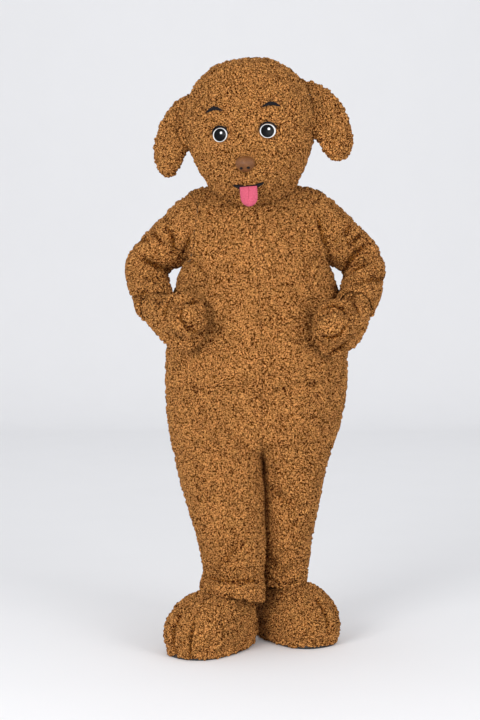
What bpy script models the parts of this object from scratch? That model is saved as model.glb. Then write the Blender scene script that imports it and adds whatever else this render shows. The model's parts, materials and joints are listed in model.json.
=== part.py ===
"""Dog mascot costume, worn with both fists on the hips.

A jumpsuit, a head with floppy ears, two mitts and two paw shoes. Every furred piece is a wall with
the garment's true outer form, open where the real one is open. Lengths are metres and heights are
measured from the floor. The root empty brings the wearer's shoulders to the origin, +Z up, with
the costume facing -Y. Left and right are the wearer's, so left is +X.
"""

import math
from collections import namedtuple

import bmesh
import bpy
from mathutils import Matrix, Vector
from mathutils.bvhtree import BVHTree

# ----------------------------------------------------------------------------- driving sizes

SHOULDER_HEIGHT = 1.44
FUR_WALL = 0.007
HEAD_WALL = 0.014
SHOE_WALL = 0.010
SEAM_SHIFT = 0.00045
LEAF_SHIFT = 0.0007
SEAT_GAP = 0.0005
HEAD_GAP = 0.0013
LEAST_MITRE = 0.25
LIFT = 0.0007
FACE_LIFT = 0.0012
NOSE_LIFT = 0.0018
TORSO_COLUMNS = 12
LEG_COLUMNS = 10
SLEEVE_COLUMNS = 8

LEFT, RIGHT = 1, -1
SIDE_NAMES = {LEFT: "left", RIGHT: "right"}

# Torso sections from the underarm to the crotch. `front` and `back` are depths from the section's
# centre, and `turn` is in degrees, the front towards +X.
Section = namedtuple("Section", "height half_width front back centre_x centre_y turn")
TORSO = (
    Section(1.215, 0.236, 0.166, 0.148, 0.001, 0.000, 1.0),
    Section(1.120, 0.262, 0.190, 0.156, 0.003, 0.000, 2.0),
    Section(1.020, 0.276, 0.206, 0.164, 0.003, 0.000, 3.0),
    Section(0.925, 0.290, 0.212, 0.176, 0.005, 0.000, 4.0),
    Section(0.830, 0.289, 0.206, 0.192, 0.003, 0.000, 5.0),
    Section(0.740, 0.284, 0.188, 0.194, 0.001, 0.000, 6.0),
    Section(0.660, 0.267, 0.166, 0.176, -0.006, 0.000, 7.0),
)

# The yoke above the underarm, half of it: seven stations from centre front to centre back. The
# armhole passes through the chest row, which has no side station.
Yoke = namedtuple(
    "Yoke", "front_centre front_inner front_outer side back_outer back_inner back_centre"
)
NECK_TOP = Yoke(
    (0.000, -0.092, 1.436), (0.052, -0.080, 1.442), (0.090, -0.046, 1.456), (0.104, -0.008, 1.470),
    (0.090, 0.034, 1.474), (0.050, 0.060, 1.474), (0.000, 0.070, 1.474),
)
NECK_BASE = Yoke(
    (0.000, -0.106, 1.404), (0.062, -0.092, 1.414), (0.108, -0.052, 1.436), (0.126, -0.006, 1.456),
    (0.108, 0.048, 1.454), (0.062, 0.078, 1.450), (0.000, 0.088, 1.448),
)
SHOULDER = Yoke(
    (0.000, -0.138, 1.352), (0.088, -0.132, 1.366), (0.176, -0.092, 1.402), (0.228, 0.004, 1.468),
    (0.178, 0.096, 1.418), (0.090, 0.136, 1.406), (0.000, 0.146, 1.400),
)
CHEST = Yoke(
    (0.000, -0.166, 1.288), (0.098, -0.158, 1.292), (0.196, -0.106, 1.304), None,
    (0.198, 0.102, 1.312), (0.100, 0.146, 1.314), (0.000, 0.156, 1.314),
)
# Points along the crotch, as depth and height.
CROTCH_FRONT, CROTCH_MIDDLE, CROTCH_BACK = (-0.105, 0.626), (0.000, 0.610), (0.100, 0.624)
CROTCH_X = 0.018

# Leg sections, ending in the bunched hem. The two legs differ as the right foot is set forward.
# `drop` is how much lower a section hangs at the inseam.
Limb = namedtuple("Limb", "height centre_x centre_y half_width half_depth drop", defaults=(0.0,))
LEGS = {
    RIGHT: (
        Limb(0.585, -0.114, -0.014, 0.138, 0.152),
        Limb(0.490, -0.104, -0.030, 0.131, 0.144),
        Limb(0.400, -0.087, -0.046, 0.114, 0.132),
        Limb(0.320, -0.074, -0.060, 0.101, 0.120),
        Limb(0.268, -0.071, -0.068, 0.098, 0.117),
        Limb(0.236, -0.070, -0.073, 0.088, 0.106),
        Limb(0.204, -0.075, -0.077, 0.101, 0.122, 0.014),
        Limb(0.1798, -0.073, -0.080, 0.100, 0.114, 0.034),
    ),
    LEFT: (
        Limb(0.585, 0.1275, 0.010, 0.102, 0.146),
        Limb(0.490, 0.117, 0.018, 0.093, 0.136),
        Limb(0.400, 0.109, 0.028, 0.085, 0.126),
        Limb(0.320, 0.101, 0.040, 0.077, 0.115),
        Limb(0.268, 0.099, 0.048, 0.076, 0.113),
        Limb(0.236, 0.0945, 0.053, 0.072, 0.103),
        Limb(0.207, 0.0945, 0.057, 0.074, 0.117),
        Limb(0.1790, 0.0930, 0.060, 0.071, 0.109),
    ),
}
INSEAM_FLATNESS = 0.62
INSEAM_FULLNESS = 1.035
DROP_POWER = 1.5
SIDE_SEAM, INSEAM = 3, 8

# Sleeve rings of the left arm from the armhole to the cuff. `inner` and `outer` are the reaches
# towards and away from the inside of the elbow, so a small `inner` is a crease.
Ring = namedtuple("Ring", "x y z inner outer side")
SLEEVE = (
    Ring(0.244, 0.010, 1.322, 0.102, 0.066, 0.090),
    Ring(0.288, 0.028, 1.276, 0.094, 0.064, 0.080),
    Ring(0.322, 0.040, 1.238, 0.070, 0.074, 0.076),
    Ring(0.348, 0.040, 1.196, 0.057, 0.076, 0.074),
    Ring(0.344, 0.012, 1.154, 0.063, 0.065, 0.066),
    Ring(0.330, -0.036, 1.114, 0.061, 0.060, 0.061),
    Ring(0.312, -0.096, 1.076, 0.060, 0.060, 0.061),
)

# Head, in its own frame with the origin inside the skull.
HEAD_PLACE = (-0.018, -0.062, 1.632)
HEAD_TURN = (math.radians(3.0), math.radians(-4.0), math.radians(-7.0))
HEAD_HALF_WIDTH = 0.203
HEAD_FRONT, HEAD_BACK = 0.205, 0.208
HEAD_UP, HEAD_DOWN = 0.205, 0.250
JAW_NARROWING = 0.10
JAW_FORWARD = 0.045
MUZZLE_REACH = 0.040
HEAD_COLUMNS = 28
HEAD_ROWS = 12
CROWN_ROWS = 2
TUCK = 0.35
NECK_RIM = namedtuple("NeckRim", "centre_x centre_y half_width front back")(
    -0.010, -0.018, 0.140, 0.116, 0.112
)
RIM_CLEAR = 0.003

# Mitt rings of the left hand from the wrist to the knuckles.
MITT = (
    Ring(0.324, -0.056, 1.101, 0.045, 0.045, 0.045),
    Ring(0.307, -0.112, 1.066, 0.046, 0.046, 0.046),
    Ring(0.284, -0.142, 1.050, 0.062, 0.062, 0.052),
    Ring(0.256, -0.168, 1.038, 0.082, 0.082, 0.056),
    Ring(0.238, -0.180, 1.034, 0.091, 0.088, 0.059),
    Ring(0.220, -0.190, 1.031, 0.094, 0.090, 0.060),
    Ring(0.203, -0.197, 1.029, 0.092, 0.088, 0.058),
    Ring(0.187, -0.200, 1.027, 0.084, 0.080, 0.054),
    Ring(0.172, -0.201, 1.025, 0.068, 0.065, 0.046),
    Ring(0.158, -0.200, 1.024, 0.044, 0.042, 0.032),
    Ring(0.149, -0.199, 1.023, 0.000, 0.000, 0.000),
)
# How far each fist lies from the table's place. The first two rings, the wrist, stay in the cuff.
MITT_SHIFT = {LEFT: Vector((0.024, 0.000, -0.020)), RIGHT: Vector((0.002, -0.015, -0.002))}
WRIST_ROWS = 2
MITT_COLUMNS = 24

# Paw shoes: plan outline in the foot's own frame, toes towards -Y.
SHOE_LENGTH, SHOE_TOE_WIDTH, SHOE_HEEL_WIDTH = 0.350, 0.242, 0.170
SOLE_THICKNESS = 0.012
SHOE_COLUMNS = 24
TOE_GROOVE_DEPTH, TOE_GROOVE_SINK, TOE_TOP = 0.012, 0.010, 0.080
ShoePlace = namedtuple("ShoePlace", "x y turn")
SHOES = {
    RIGHT: ShoePlace(-0.136, -0.134, math.radians(-40.0)),
    LEFT: ShoePlace(0.124, 0.014, math.radians(34.0)),
}

# ----------------------------------------------------------------------------- materials

Finish = namedtuple("Finish", "colour roughness")
FINISHES = {
    "brown_fur": Finish((0.315, 0.150, 0.052), 0.95),
    "nose_leather": Finish((0.200, 0.078, 0.030), 0.55),
    "black_felt": Finish((0.010, 0.010, 0.011), 0.90),
    "pink_fleece": Finish((0.760, 0.130, 0.220), 0.80),
    "eye_white": Finish((0.800, 0.800, 0.830), 0.25),
    "eye_black": Finish((0.008, 0.008, 0.010), 0.15),
    "sole_rubber": Finish((0.020, 0.020, 0.021), 0.70),
    "zip_tape": Finish((0.160, 0.080, 0.035), 0.80),
}


def material(name):
    """The Principled material of this finish, made once."""
    found = bpy.data.materials.get(name)
    if found:
        return found
    made = bpy.data.materials.new(name)
    made.use_nodes = True
    shader = made.node_tree.nodes["Principled BSDF"]
    shader.inputs["Base Color"].default_value = (*FINISHES[name].colour, 1.0)
    shader.inputs["Roughness"].default_value = FINISHES[name].roughness
    shader.inputs["Metallic"].default_value = 0.0
    return made


# ----------------------------------------------------------------------------- objects and walls


def clear_scene():
    for item in list(bpy.data.objects):
        bpy.data.objects.remove(item, do_unlink=True)


def add_empty(name, collection, parent=None, place=(0.0, 0.0, 0.0), turn=(0.0, 0.0, 0.0)):
    """A frame for the pieces of one sub-assembly."""
    frame = bpy.data.objects.new(name, None)
    collection.objects.link(frame)
    frame.parent = parent
    frame.location = place
    frame.rotation_euler = turn
    return frame


def add_piece(name, shape, finish, parent):
    """Makes a named object from a bmesh, which is freed."""
    mesh = bpy.data.meshes.new(name)
    shape.to_mesh(mesh)
    shape.free()
    mesh.materials.append(material(finish))
    mesh.shade_smooth()
    mesh.set_sharp_from_angle(angle=math.radians(50.0))
    piece = bpy.data.objects.new(name, mesh)
    parent.users_collection[0].objects.link(piece)
    piece.parent = parent
    return piece


def subdivided(cage):
    """The cage after one level of Subdivision Surface, with each face's panel number kept."""
    mesh = bpy.data.meshes.new("cage")
    cage.to_mesh(mesh)
    cage.free()
    holder = bpy.data.objects.new("cage", mesh)
    bpy.context.scene.collection.objects.link(holder)
    smoothing = holder.modifiers.new("Subdivision", "SUBSURF")
    smoothing.levels = smoothing.render_levels = 1
    graph = bpy.context.evaluated_depsgraph_get()
    finer = bpy.data.meshes.new_from_object(holder.evaluated_get(graph))
    sheet = bmesh.new()
    sheet.from_mesh(finer)
    bpy.data.objects.remove(holder, do_unlink=True)
    bpy.data.meshes.remove(finer)
    return sheet


def panel_wall(sheet, panel, thickness):
    """One cut panel of a sheet as a closed wall.

    The outer side lies on the sheet. The inner side is set in along the sheet's own normals, which
    neighbouring panels share, so the edges of two panels face each other across an even seam gap.
    """
    faces = [face for face in sheet.faces if face.material_index == panel]
    sheet.verts.index_update()
    wall = bmesh.new()
    outer, inner = {}, {}
    for vert in {vert for face in faces for vert in face.verts}:
        shift = seam_shift(vert, panel)
        outer[vert] = wall.verts.new(vert.co + shift)
        inner[vert] = wall.verts.new(vert.co + shift - vert.normal * thickness)
    for face in faces:
        wall.faces.new([outer[vert] for vert in face.verts])
        wall.faces.new([inner[vert] for vert in reversed(face.verts)])
        for loop in face.loops:
            others = [other for other in loop.edge.link_faces if other is not face]
            if not others or others[0].material_index != panel:
                start, end = loop.vert, loop.link_loop_next.vert
                if start.index < end.index:
                    wall.faces.new((outer[end], outer[start], inner[end]))
                    wall.faces.new((outer[start], inner[start], inner[end]))
                else:
                    wall.faces.new((outer[end], outer[start], inner[start]))
                    wall.faces.new((outer[end], inner[start], inner[end]))
    return wall


def seam_shift(vert, panel):
    """How far a panel's edge point moves into its own panel, so that each seam has its gap."""
    inward = []
    for edge in vert.link_edges:
        own = [face for face in edge.link_faces if face.material_index == panel]
        if len(edge.link_faces) == 2 and len(own) == 1:
            along = (edge.other_vert(vert).co - vert.co).normalized()
            across = along.cross(vert.normal).normalized()
            if across.dot(own[0].calc_center_median() - vert.co) < 0.0:
                across = -across
            inward.append(across)
    if not inward:
        return Vector((0.0, 0.0, 0.0))
    mean = sum(inward, Vector()) / len(inward)
    return mean * SEAM_SHIFT / max(mean.length_squared, LEAST_MITRE)


def stitch(sheet, upper, lower, panel_of, mirrored=False):
    """Quads between two rings. Seen down the tube, a ring that isn't mirrored runs anticlockwise."""
    count = len(upper)
    for index in range(count):
        following = (index + 1) % count
        corners = [upper[index], lower[index], lower[following], upper[following]]
        if None in corners:
            continue
        face = sheet.faces.new(reversed(corners) if mirrored else corners)
        face.material_index = panel_of(index)


def slab(outer, inner):
    """A closed solid between two equal grids of points, outer rows seen from outside.

    The inner side is in triangles with one diagonal, so that two slabs laid back to back match.
    """
    shape = bmesh.new()
    tops = [[shape.verts.new(point) for point in row] for row in outer]
    bottoms = [[shape.verts.new(point) for point in row] for row in inner]
    rows, columns = len(outer), len(outer[0])
    for row in range(rows - 1):
        for column in range(columns - 1):
            corners = [(row, column), (row + 1, column), (row + 1, column + 1), (row, column + 1)]
            shape.faces.new([tops[r][c] for r, c in corners])
            near, low, far, high = [bottoms[r][c] for r, c in corners]
            shape.faces.new((near, far, low))
            shape.faces.new((near, high, far))
    edge = [(0, column) for column in range(columns)]
    edge += [(row, columns - 1) for row in range(1, rows)]
    edge += [(rows - 1, column) for column in range(columns - 2, -1, -1)]
    edge += [(row, 0) for row in range(rows - 2, 0, -1)]
    for (r, c), (next_r, next_c) in zip(edge, edge[1:] + edge[:1]):
        shape.faces.new((tops[r][c], tops[next_r][next_c], bottoms[next_r][next_c], bottoms[r][c]))
    bmesh.ops.recalc_face_normals(shape, faces=shape.faces)
    return shape


def powered(value, power):
    """A signed power, which squares an oval's shoulders."""
    return math.copysign(abs(value) ** power, value)


def surface_of(objects):
    """The objects' meshes as one ray-cast tree in world space, with their world points."""
    bpy.context.view_layer.update()
    points, polygons = [], []
    for item in objects:
        start = len(points)
        points += [item.matrix_world @ vert.co for vert in item.data.vertices]
        polygons += [[start + index for index in face.vertices] for face in item.data.polygons]
    return BVHTree.FromPolygons(points, polygons), points


def seat(frame, moving, supports, direction, gap=SEAT_GAP, reach=0.2):
    """Slides a frame along a direction until its pieces lie `gap` from their supports."""
    direction = Vector(direction).normalized()
    moving_tree, moving_points = surface_of(moving)
    support_tree, support_points = surface_of(supports)
    distances = []
    for point in moving_points:
        hit = support_tree.ray_cast(point - direction * reach, direction)
        if hit[0] is not None:
            distances.append(hit[3] - reach)
    for point in support_points:
        hit = moving_tree.ray_cast(point + direction * reach, -direction)
        if hit[0] is not None:
            distances.append(hit[3] - reach)
    frame.location += direction * (min(distances) - gap)


# ----------------------------------------------------------------------------- jumpsuit

FRONT_LEFT, BACK_LEFT, BACK_RIGHT, FRONT_RIGHT, SLEEVE_LEFT, SLEEVE_RIGHT = range(6)
JUMPSUIT_PANELS = {
    "front_left": FRONT_LEFT,
    "back_left": BACK_LEFT,
    "back_right": BACK_RIGHT,
    "front_right": FRONT_RIGHT,
    "sleeve_left": SLEEVE_LEFT,
    "sleeve_right": SLEEVE_RIGHT,
}
ZIP_BOTTOM = 0.80
ZIP_HALF_WIDTH, ZIP_THICKNESS = 0.014, 0.0016


def swell(columns):
    """How much larger a ring of the cage is than the smooth ring that it gives."""
    return 3.0 / (2.0 + math.cos(math.tau / columns))


def section_ring(sheet, section):
    """Twelve points of a torso section from the centre front round by +X."""
    turn = Matrix.Rotation(math.radians(section.turn), 3, "Z")
    ring = []
    for column in range(TORSO_COLUMNS):
        angle = math.tau * column / TORSO_COLUMNS
        depth = section.front if math.cos(angle) > 0.0 else section.back
        reach = Vector((section.half_width * math.sin(angle), -depth * math.cos(angle), 0.0))
        centre = Vector((section.centre_x, section.centre_y, section.height))
        ring.append(sheet.verts.new(centre + turn @ reach * swell(TORSO_COLUMNS)))
    return ring


def yoke_ring(sheet, yoke):
    """Twelve points of a yoke row, the stations of one half mirrored for the other."""
    half = list(yoke)
    stations = half + [point and (-point[0], *point[1:]) for point in reversed(half[1:-1])]
    return [point and sheet.verts.new(point) for point in stations]


def leg_ring(sheet, limb, side):
    """Ten points of a leg section; the fourth is on the side seam and the ninth on the inseam."""
    outermost = 90.0 * side
    ring = []
    for column in range(LEG_COLUMNS):
        angle = math.radians(outermost + (column - 3) * 360.0 / LEG_COLUMNS)
        across = math.sin(angle)
        if across * side < 0.0:
            across = powered(across, INSEAM_FLATNESS)
        fuller = swell(LEG_COLUMNS) if across * side > 0.0 else INSEAM_FULLNESS
        x = limb.centre_x + limb.half_width * across * fuller
        y = limb.centre_y - limb.half_depth * swell(LEG_COLUMNS) * math.cos(angle)
        hang = limb.drop * max(0.0, -across * side) ** DROP_POWER
        ring.append(sheet.verts.new((x, y, limb.height - hang)))
    return ring


def tube_rings(path, columns, swelling, side, start_down):
    """Rings round a bent path, each starting on the inside of the bend and going by the front."""
    centres = [Vector((ring.x, ring.y, ring.z)) for ring in path]
    down = Vector(start_down)
    rings = []
    for index, ring in enumerate(path):
        before, after = centres[max(index - 1, 0)], centres[min(index + 1, len(path) - 1)]
        along = (after - before).normalized()
        down = (down - along * down.dot(along)).normalized()
        forward = down.cross(along)
        points = []
        for column in range(columns):
            angle = math.tau * column / columns
            reach = ring.inner if math.cos(angle) > 0.0 else ring.outer
            offset = down * reach * math.cos(angle) + forward * ring.side * math.sin(angle)
            point = centres[index] + offset * swelling
            points.append(Vector((point.x * side, point.y, point.z)))
        rings.append(points)
    return rings


def jumpsuit_sheet():
    """The jumpsuit's outer surface as one sheet, each face carrying its panel number."""
    cage = bmesh.new()
    rows = [yoke_ring(cage, yoke) for yoke in (NECK_TOP, NECK_BASE, SHOULDER, CHEST)]
    rows += [section_ring(cage, section) for section in TORSO]
    for upper, lower in zip(rows, rows[1:]):
        stitch(cage, upper, lower, lambda column: column // 3)
    crotch = [cage.verts.new((CROTCH_X, y, z)) for y, z in (CROTCH_FRONT, CROTCH_MIDDLE, CROTCH_BACK)]
    add_leg(cage, LEFT, rows[-1][0:7] + crotch[::-1], (FRONT_LEFT, BACK_LEFT, FRONT_LEFT))
    add_leg(cage, RIGHT, rows[-1][6:] + rows[-1][:1] + crotch, (BACK_RIGHT, FRONT_RIGHT, BACK_RIGHT))
    shoulder, chest, underarm = rows[2], rows[3], rows[4]
    add_sleeve(cage, LEFT, SLEEVE_LEFT, shoulder, chest, underarm, (3, 2, 4))
    add_sleeve(cage, RIGHT, SLEEVE_RIGHT, shoulder, chest, underarm, (9, 10, 8))
    return subdivided(cage)


def add_leg(cage, side, top, panels):
    """A leg from its ring at the crotch to the hem; panels change at the side seam and inseam."""
    rings = [top] + [leg_ring(cage, limb, side) for limb in LEGS[side]]
    for upper, lower in zip(rings, rings[1:]):
        stitch(cage, upper, lower, lambda column: panels[(column >= SIDE_SEAM) + (column >= INSEAM)])


def add_sleeve(cage, side, panel, shoulder, chest, underarm, stations):
    """A sleeve from the armhole's eight points to the cuff."""
    middle, front, back = stations
    armhole = [
        underarm[middle], underarm[front], chest[front], shoulder[front],
        shoulder[middle], shoulder[back], chest[back], underarm[back],
    ]
    rings = [armhole]
    for points in tube_rings(SLEEVE, SLEEVE_COLUMNS, swell(SLEEVE_COLUMNS), side, (-0.5, 0.0, -1.0)):
        rings.append([cage.verts.new(point) for point in points])
    for upper, lower in zip(rings, rings[1:]):
        stitch(cage, upper, lower, lambda column: panel, mirrored=side == RIGHT)


def back_zip(sheet):
    """The concealed zip's tape, behind the centre-back seam from the neck down."""
    pair = {BACK_LEFT, BACK_RIGHT}
    seam = [
        vert for vert in sheet.verts
        if {face.material_index for face in vert.link_faces} == pair and vert.co.z > ZIP_BOTTOM
    ]
    seam.sort(key=lambda vert: -vert.co.z)
    outer, inner = [], []
    for vert in seam:
        around = [edge.other_vert(vert) for edge in vert.link_edges]
        offsets = [(other.co - vert.co, other) for other in around if other not in seam]
        beside = [other for offset, other in offsets if abs(offset.z) < abs(offset.x)]
        beside.sort(key=lambda other: -other.co.x)
        depth = FUR_WALL + LIFT
        middle = vert.co - vert.normal * depth
        row = [middle]
        for other, slot in ((beside[0], 0), (beside[-1], 2)):
            edge = other.co - other.normal * depth - middle
            row.insert(slot, middle + edge.normalized() * ZIP_HALF_WIDTH)
        outer.append(row)
        inner.append([point - vert.normal * ZIP_THICKNESS for point in row])
    return slab(outer, inner)


def add_jumpsuit(root):
    sheet = jumpsuit_sheet()
    sheet.normal_update()
    pieces = {}
    for name, panel in JUMPSUIT_PANELS.items():
        pieces[name] = add_piece(name, panel_wall(sheet, panel, FUR_WALL), "brown_fur", root)
    pieces["back_zip"] = add_piece("back_zip", back_zip(sheet), "zip_tape", root)
    sheet.free()
    return pieces


# ----------------------------------------------------------------------------- head

HEAD_FACE, HEAD_SIDE_LEFT, HEAD_BACK_LEFT, HEAD_BACK_RIGHT, HEAD_SIDE_RIGHT, HEAD_CROWN = range(6)
HEAD_PANELS = {
    "head_face": HEAD_FACE,
    "head_side_left": HEAD_SIDE_LEFT,
    "head_back_left": HEAD_BACK_LEFT,
    "head_back_right": HEAD_BACK_RIGHT,
    "head_side_right": HEAD_SIDE_RIGHT,
    "head_crown": HEAD_CROWN,
}
# The last column of each gore, counted from the middle of the face.
FACE_COLUMNS, SIDE_COLUMNS = 4, 9
CROWN_FULLNESS = 0.80
MUZZLE_HEIGHT = -0.155
MUZZLE_HALF_WIDTH, MUZZLE_HALF_HEIGHT = 0.078, 0.070
CHIN_POLAR, SIDE_POLAR, NAPE_POLAR = math.radians(166.0), math.radians(131.0), math.radians(126.0)


def head_point(round_angle, polar):
    """A point of the skull: round_angle from the face by +X, polar from the crown."""
    up, out = math.cos(polar), math.sin(polar)
    low = max(0.0, -up)
    spread = out**CROWN_FULLNESS if up > 0.0 else out * (1.0 - JAW_NARROWING * low)
    depth = HEAD_FRONT if math.cos(round_angle) > 0.0 else HEAD_BACK
    x = HEAD_HALF_WIDTH * spread * math.sin(round_angle)
    y = -depth * spread * math.cos(round_angle) - JAW_FORWARD * low * (1.0 + math.cos(round_angle)) / 2.0
    z = (HEAD_UP if up > 0.0 else HEAD_DOWN) * up
    if math.cos(round_angle) > 0.0:
        width = (x / MUZZLE_HALF_WIDTH) ** 2
        y -= MUZZLE_REACH * math.exp(-width - ((z - MUZZLE_HEIGHT) / MUZZLE_HALF_HEIGHT) ** 2)
    return Vector((x, y, z))


def rim_point(round_angle, shoulders):
    """A point of the head's neck opening, a little above the shoulders all round."""
    forward = math.cos(round_angle)
    depth = NECK_RIM.front if forward > 0.0 else NECK_RIM.back
    reach = Vector((NECK_RIM.half_width * math.sin(round_angle), -depth * forward, 0.0))
    centre = Vector((NECK_RIM.centre_x, NECK_RIM.centre_y, 0.0))
    heights = []
    for distance in (0.0, HEAD_WALL / 2.0, HEAD_WALL):
        over = centre + reach - reach.normalized() * distance
        hit = shoulders.ray_cast(over + Vector((0.0, 0.0, 1.0)), Vector((0.0, 0.0, -1.0)))[0]
        heights.append(hit.z)
    return centre + reach + Vector((0.0, 0.0, max(heights) + RIM_CLEAR))


def head_sheet(to_head, shoulders):
    """The head's outer surface from the crown to the neck opening."""
    sheet = bmesh.new()
    crown = sheet.verts.new(head_point(0.0, 0.0))
    rings = []
    for row in range(1, HEAD_ROWS + 1):
        share = row / (HEAD_ROWS - 1)
        ring = []
        for column in range(HEAD_COLUMNS):
            angle = math.tau * column / HEAD_COLUMNS
            forward = math.cos(angle)
            lowest = CHIN_POLAR if forward > 0.0 else NAPE_POLAR
            end = SIDE_POLAR + (lowest - SIDE_POLAR) * forward**2
            point = head_point(angle, end * min(1.0, share))
            if row >= HEAD_ROWS - 1:
                rim = to_head @ rim_point(angle, shoulders)
                point = point.lerp(rim, 1.0 if row == HEAD_ROWS else TUCK)
            ring.append(sheet.verts.new(point))
        rings.append(ring)
    for column in range(HEAD_COLUMNS):
        face = sheet.faces.new((crown, rings[0][column], rings[0][(column + 1) % HEAD_COLUMNS]))
        face.material_index = HEAD_CROWN
    for row, (upper, lower) in enumerate(zip(rings, rings[1:]), start=1):
        stitch(sheet, upper, lower, lambda column: HEAD_CROWN if row < CROWN_ROWS else gore(column))
    sheet.normal_update()
    return sheet


def gore(column):
    """The gore that a column of the head belongs to."""
    around = column if column < HEAD_COLUMNS // 2 else HEAD_COLUMNS - 1 - column
    left = column < HEAD_COLUMNS // 2
    if around < FACE_COLUMNS:
        return HEAD_FACE
    if around < SIDE_COLUMNS:
        return HEAD_SIDE_LEFT if left else HEAD_SIDE_RIGHT
    return HEAD_BACK_LEFT if left else HEAD_BACK_RIGHT


def add_head(root, collection, jumpsuit):
    frame = add_empty("head_frame", collection, root, HEAD_PLACE, HEAD_TURN)
    shoulders, _ = surface_of(jumpsuit)
    to_head = frame.matrix_world.inverted()
    sheet = head_sheet(to_head, shoulders)
    skin = BVHTree.FromBMesh(sheet)
    pieces = {}
    for name, panel in HEAD_PANELS.items():
        pieces[name] = add_piece(name, panel_wall(sheet, panel, HEAD_WALL), "brown_fur", frame)
    sheet.free()
    for side in (LEFT, RIGHT):
        pieces.update(add_ear(frame, skin, side))
        pieces.update(add_eye(frame, skin, side))
        pieces.update(add_brow(frame, skin, side))
    pieces.update(add_muzzle(frame, skin))
    return frame, pieces


# Ear: the outer edge and the inner edge from root to tip, as stations across the leaf.
EarStation = namedtuple("EarStation", "outer_x outer_z inner_x inner_z")
EAR = (
    EarStation(0.148, 0.128, 0.198, -0.026),
    EarStation(0.194, 0.122, 0.203, -0.040),
    EarStation(0.232, 0.104, 0.210, -0.056),
    EarStation(0.262, 0.076, 0.217, -0.072),
    EarStation(0.288, 0.038, 0.224, -0.086),
    EarStation(0.304, -0.006, 0.231, -0.099),
    EarStation(0.311, -0.050, 0.240, -0.111),
    EarStation(0.307, -0.088, 0.250, -0.122),
    EarStation(0.290, -0.120, 0.266, -0.131),
)
EAR_DROP = {LEFT: 0.000, RIGHT: 0.008}
EAR_OUTER_Y, EAR_INNER_Y = 0.034, -0.042
EAR_COLUMNS = 6
EAR_HALF_THICKNESS, EAR_EDGE = 0.021, 0.0022
EAR_CLEAR = 0.0008
EAR_PASSES = 5
EAR_SUBROWS = 2
EAR_TIP_FULLNESS, EAR_ROOT_FULLNESS = 1.7, 4.0
EAR_ROUNDNESS = 0.6
EAR_BOW = 0.030


def ear_grid(side):
    """Points of the ear's middle surface and how full the ear is at each."""
    grid = []
    steps = (len(EAR) - 1) * EAR_SUBROWS
    for row in range(steps + 1):
        along = row / steps
        first = min(row // EAR_SUBROWS, len(EAR) - 2)
        part = row / EAR_SUBROWS - first
        outer_x, outer_z, inner_x, inner_z = (
            near + (far - near) * part for near, far in zip(EAR[first], EAR[first + 1])
        )
        swelling = min(1.0, EAR_TIP_FULLNESS * math.sqrt(1.0 - along), EAR_ROOT_FULLNESS * along)
        line = []
        for column in range(EAR_COLUMNS + 1):
            share = column / EAR_COLUMNS
            eased = (1.0 - math.cos(math.pi * share)) / 2.0
            x = outer_x + (inner_x - outer_x) * eased
            z = outer_z + (inner_z - outer_z) * eased - EAR_DROP[side]
            y = EAR_OUTER_Y + (EAR_INNER_Y - EAR_OUTER_Y) * eased + EAR_BOW * along * (1.0 - along)
            fullness = math.sin(math.pi * share) ** EAR_ROUNDNESS * swelling
            line.append((Vector((x * side, y, z)), fullness))
        grid.append(line)
    return grid


def ear_normals(middle, side):
    """The direction out of the ear's front leaf at each point of its middle surface."""
    rows, columns = len(middle), len(middle[0])
    normals = []
    for r in range(rows):
        line = []
        for c in range(columns):
            along = middle[min(r + 1, rows - 1)][c] - middle[max(r - 1, 0)][c]
            across = middle[r][min(c + 1, columns - 1)] - middle[r][max(c - 1, 0)]
            line.append(across.cross(along).normalized() * side)
        normals.append(line)
    return [
        [evened(normals, r, c) for c in range(columns)]
        for r in range(rows)
    ]


def evened(normals, r, c):
    """The mean of a grid's directions over a point and its neighbours."""
    near = [line[max(c - 1, 0):c + 2] for line in normals[max(r - 1, 0):r + 2]]
    return sum((normal for line in near for normal in line), Vector()).normalized()


def add_ear(frame, skin, side):
    """The two leaves of an ear, laid against each other, their root following the skull."""
    grid = ear_grid(side)
    middle = [[point for point, _ in line] for line in grid]
    plump = EAR_HALF_THICKNESS - EAR_EDGE
    thickness = [[EAR_EDGE + plump * full for _, full in line] for line in grid]
    room = [[EAR_CLEAR + depth for depth in line] for line in thickness]
    room[0] = [EAR_CLEAR] * len(room[0])
    middle[0] = [laid_on(point, skin) for point in middle[0]]
    push_off(middle, skin, room)
    normals = ear_normals(middle, side)
    least = [[EAR_CLEAR] * len(line) for line in grid]
    pieces = {}
    for name, facing in (("front", 1.0), ("back", -1.0)):
        outer, inner = [], []
        for places, directions, depths in zip(middle, normals, thickness):
            inner.append([p + n * facing * LEAF_SHIFT for p, n in zip(places, directions)])
            outer.append([p + n * facing * depth for p, n, depth in zip(places, directions, depths)])
        push_off(outer, skin, least)
        node = f"ear_{SIDE_NAMES[side]}_{name}"
        pieces[node] = add_piece(node, slab(outer, inner), "brown_fur", frame)
    return pieces


def laid_on(point, skin):
    """The place on the skull nearest a point, lifted clear of it."""
    nearest, normal, _, _ = skin.find_nearest(point)
    return nearest + normal * EAR_CLEAR


def push_off(grid, skin, room):
    """Moves a grid's points away from the skull until the edges between them have their room."""
    rows, columns = len(grid), len(grid[0])
    spans = [
        (r, c, r + down, c + along)
        for r in range(rows) for c in range(columns)
        for down, along in ((0, 0), (1, 0), (0, 1), (1, 1), (1, -1))
        if r + down < rows and 0 <= c + along < columns
    ]
    for _ in range(EAR_PASSES):
        for r, c, other_r, other_c in spans:
            middle = (grid[r][c] + grid[other_r][other_c]) / 2.0
            nearest, normal, _, _ = skin.find_nearest(middle)
            lack = (room[r][c] + room[other_r][other_c]) / 2.0 - (middle - nearest).dot(normal)
            if lack > 0.0:
                for row, column in {(r, c), (other_r, other_c)}:
                    grid[row][column] = grid[row][column] + normal * lack


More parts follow.
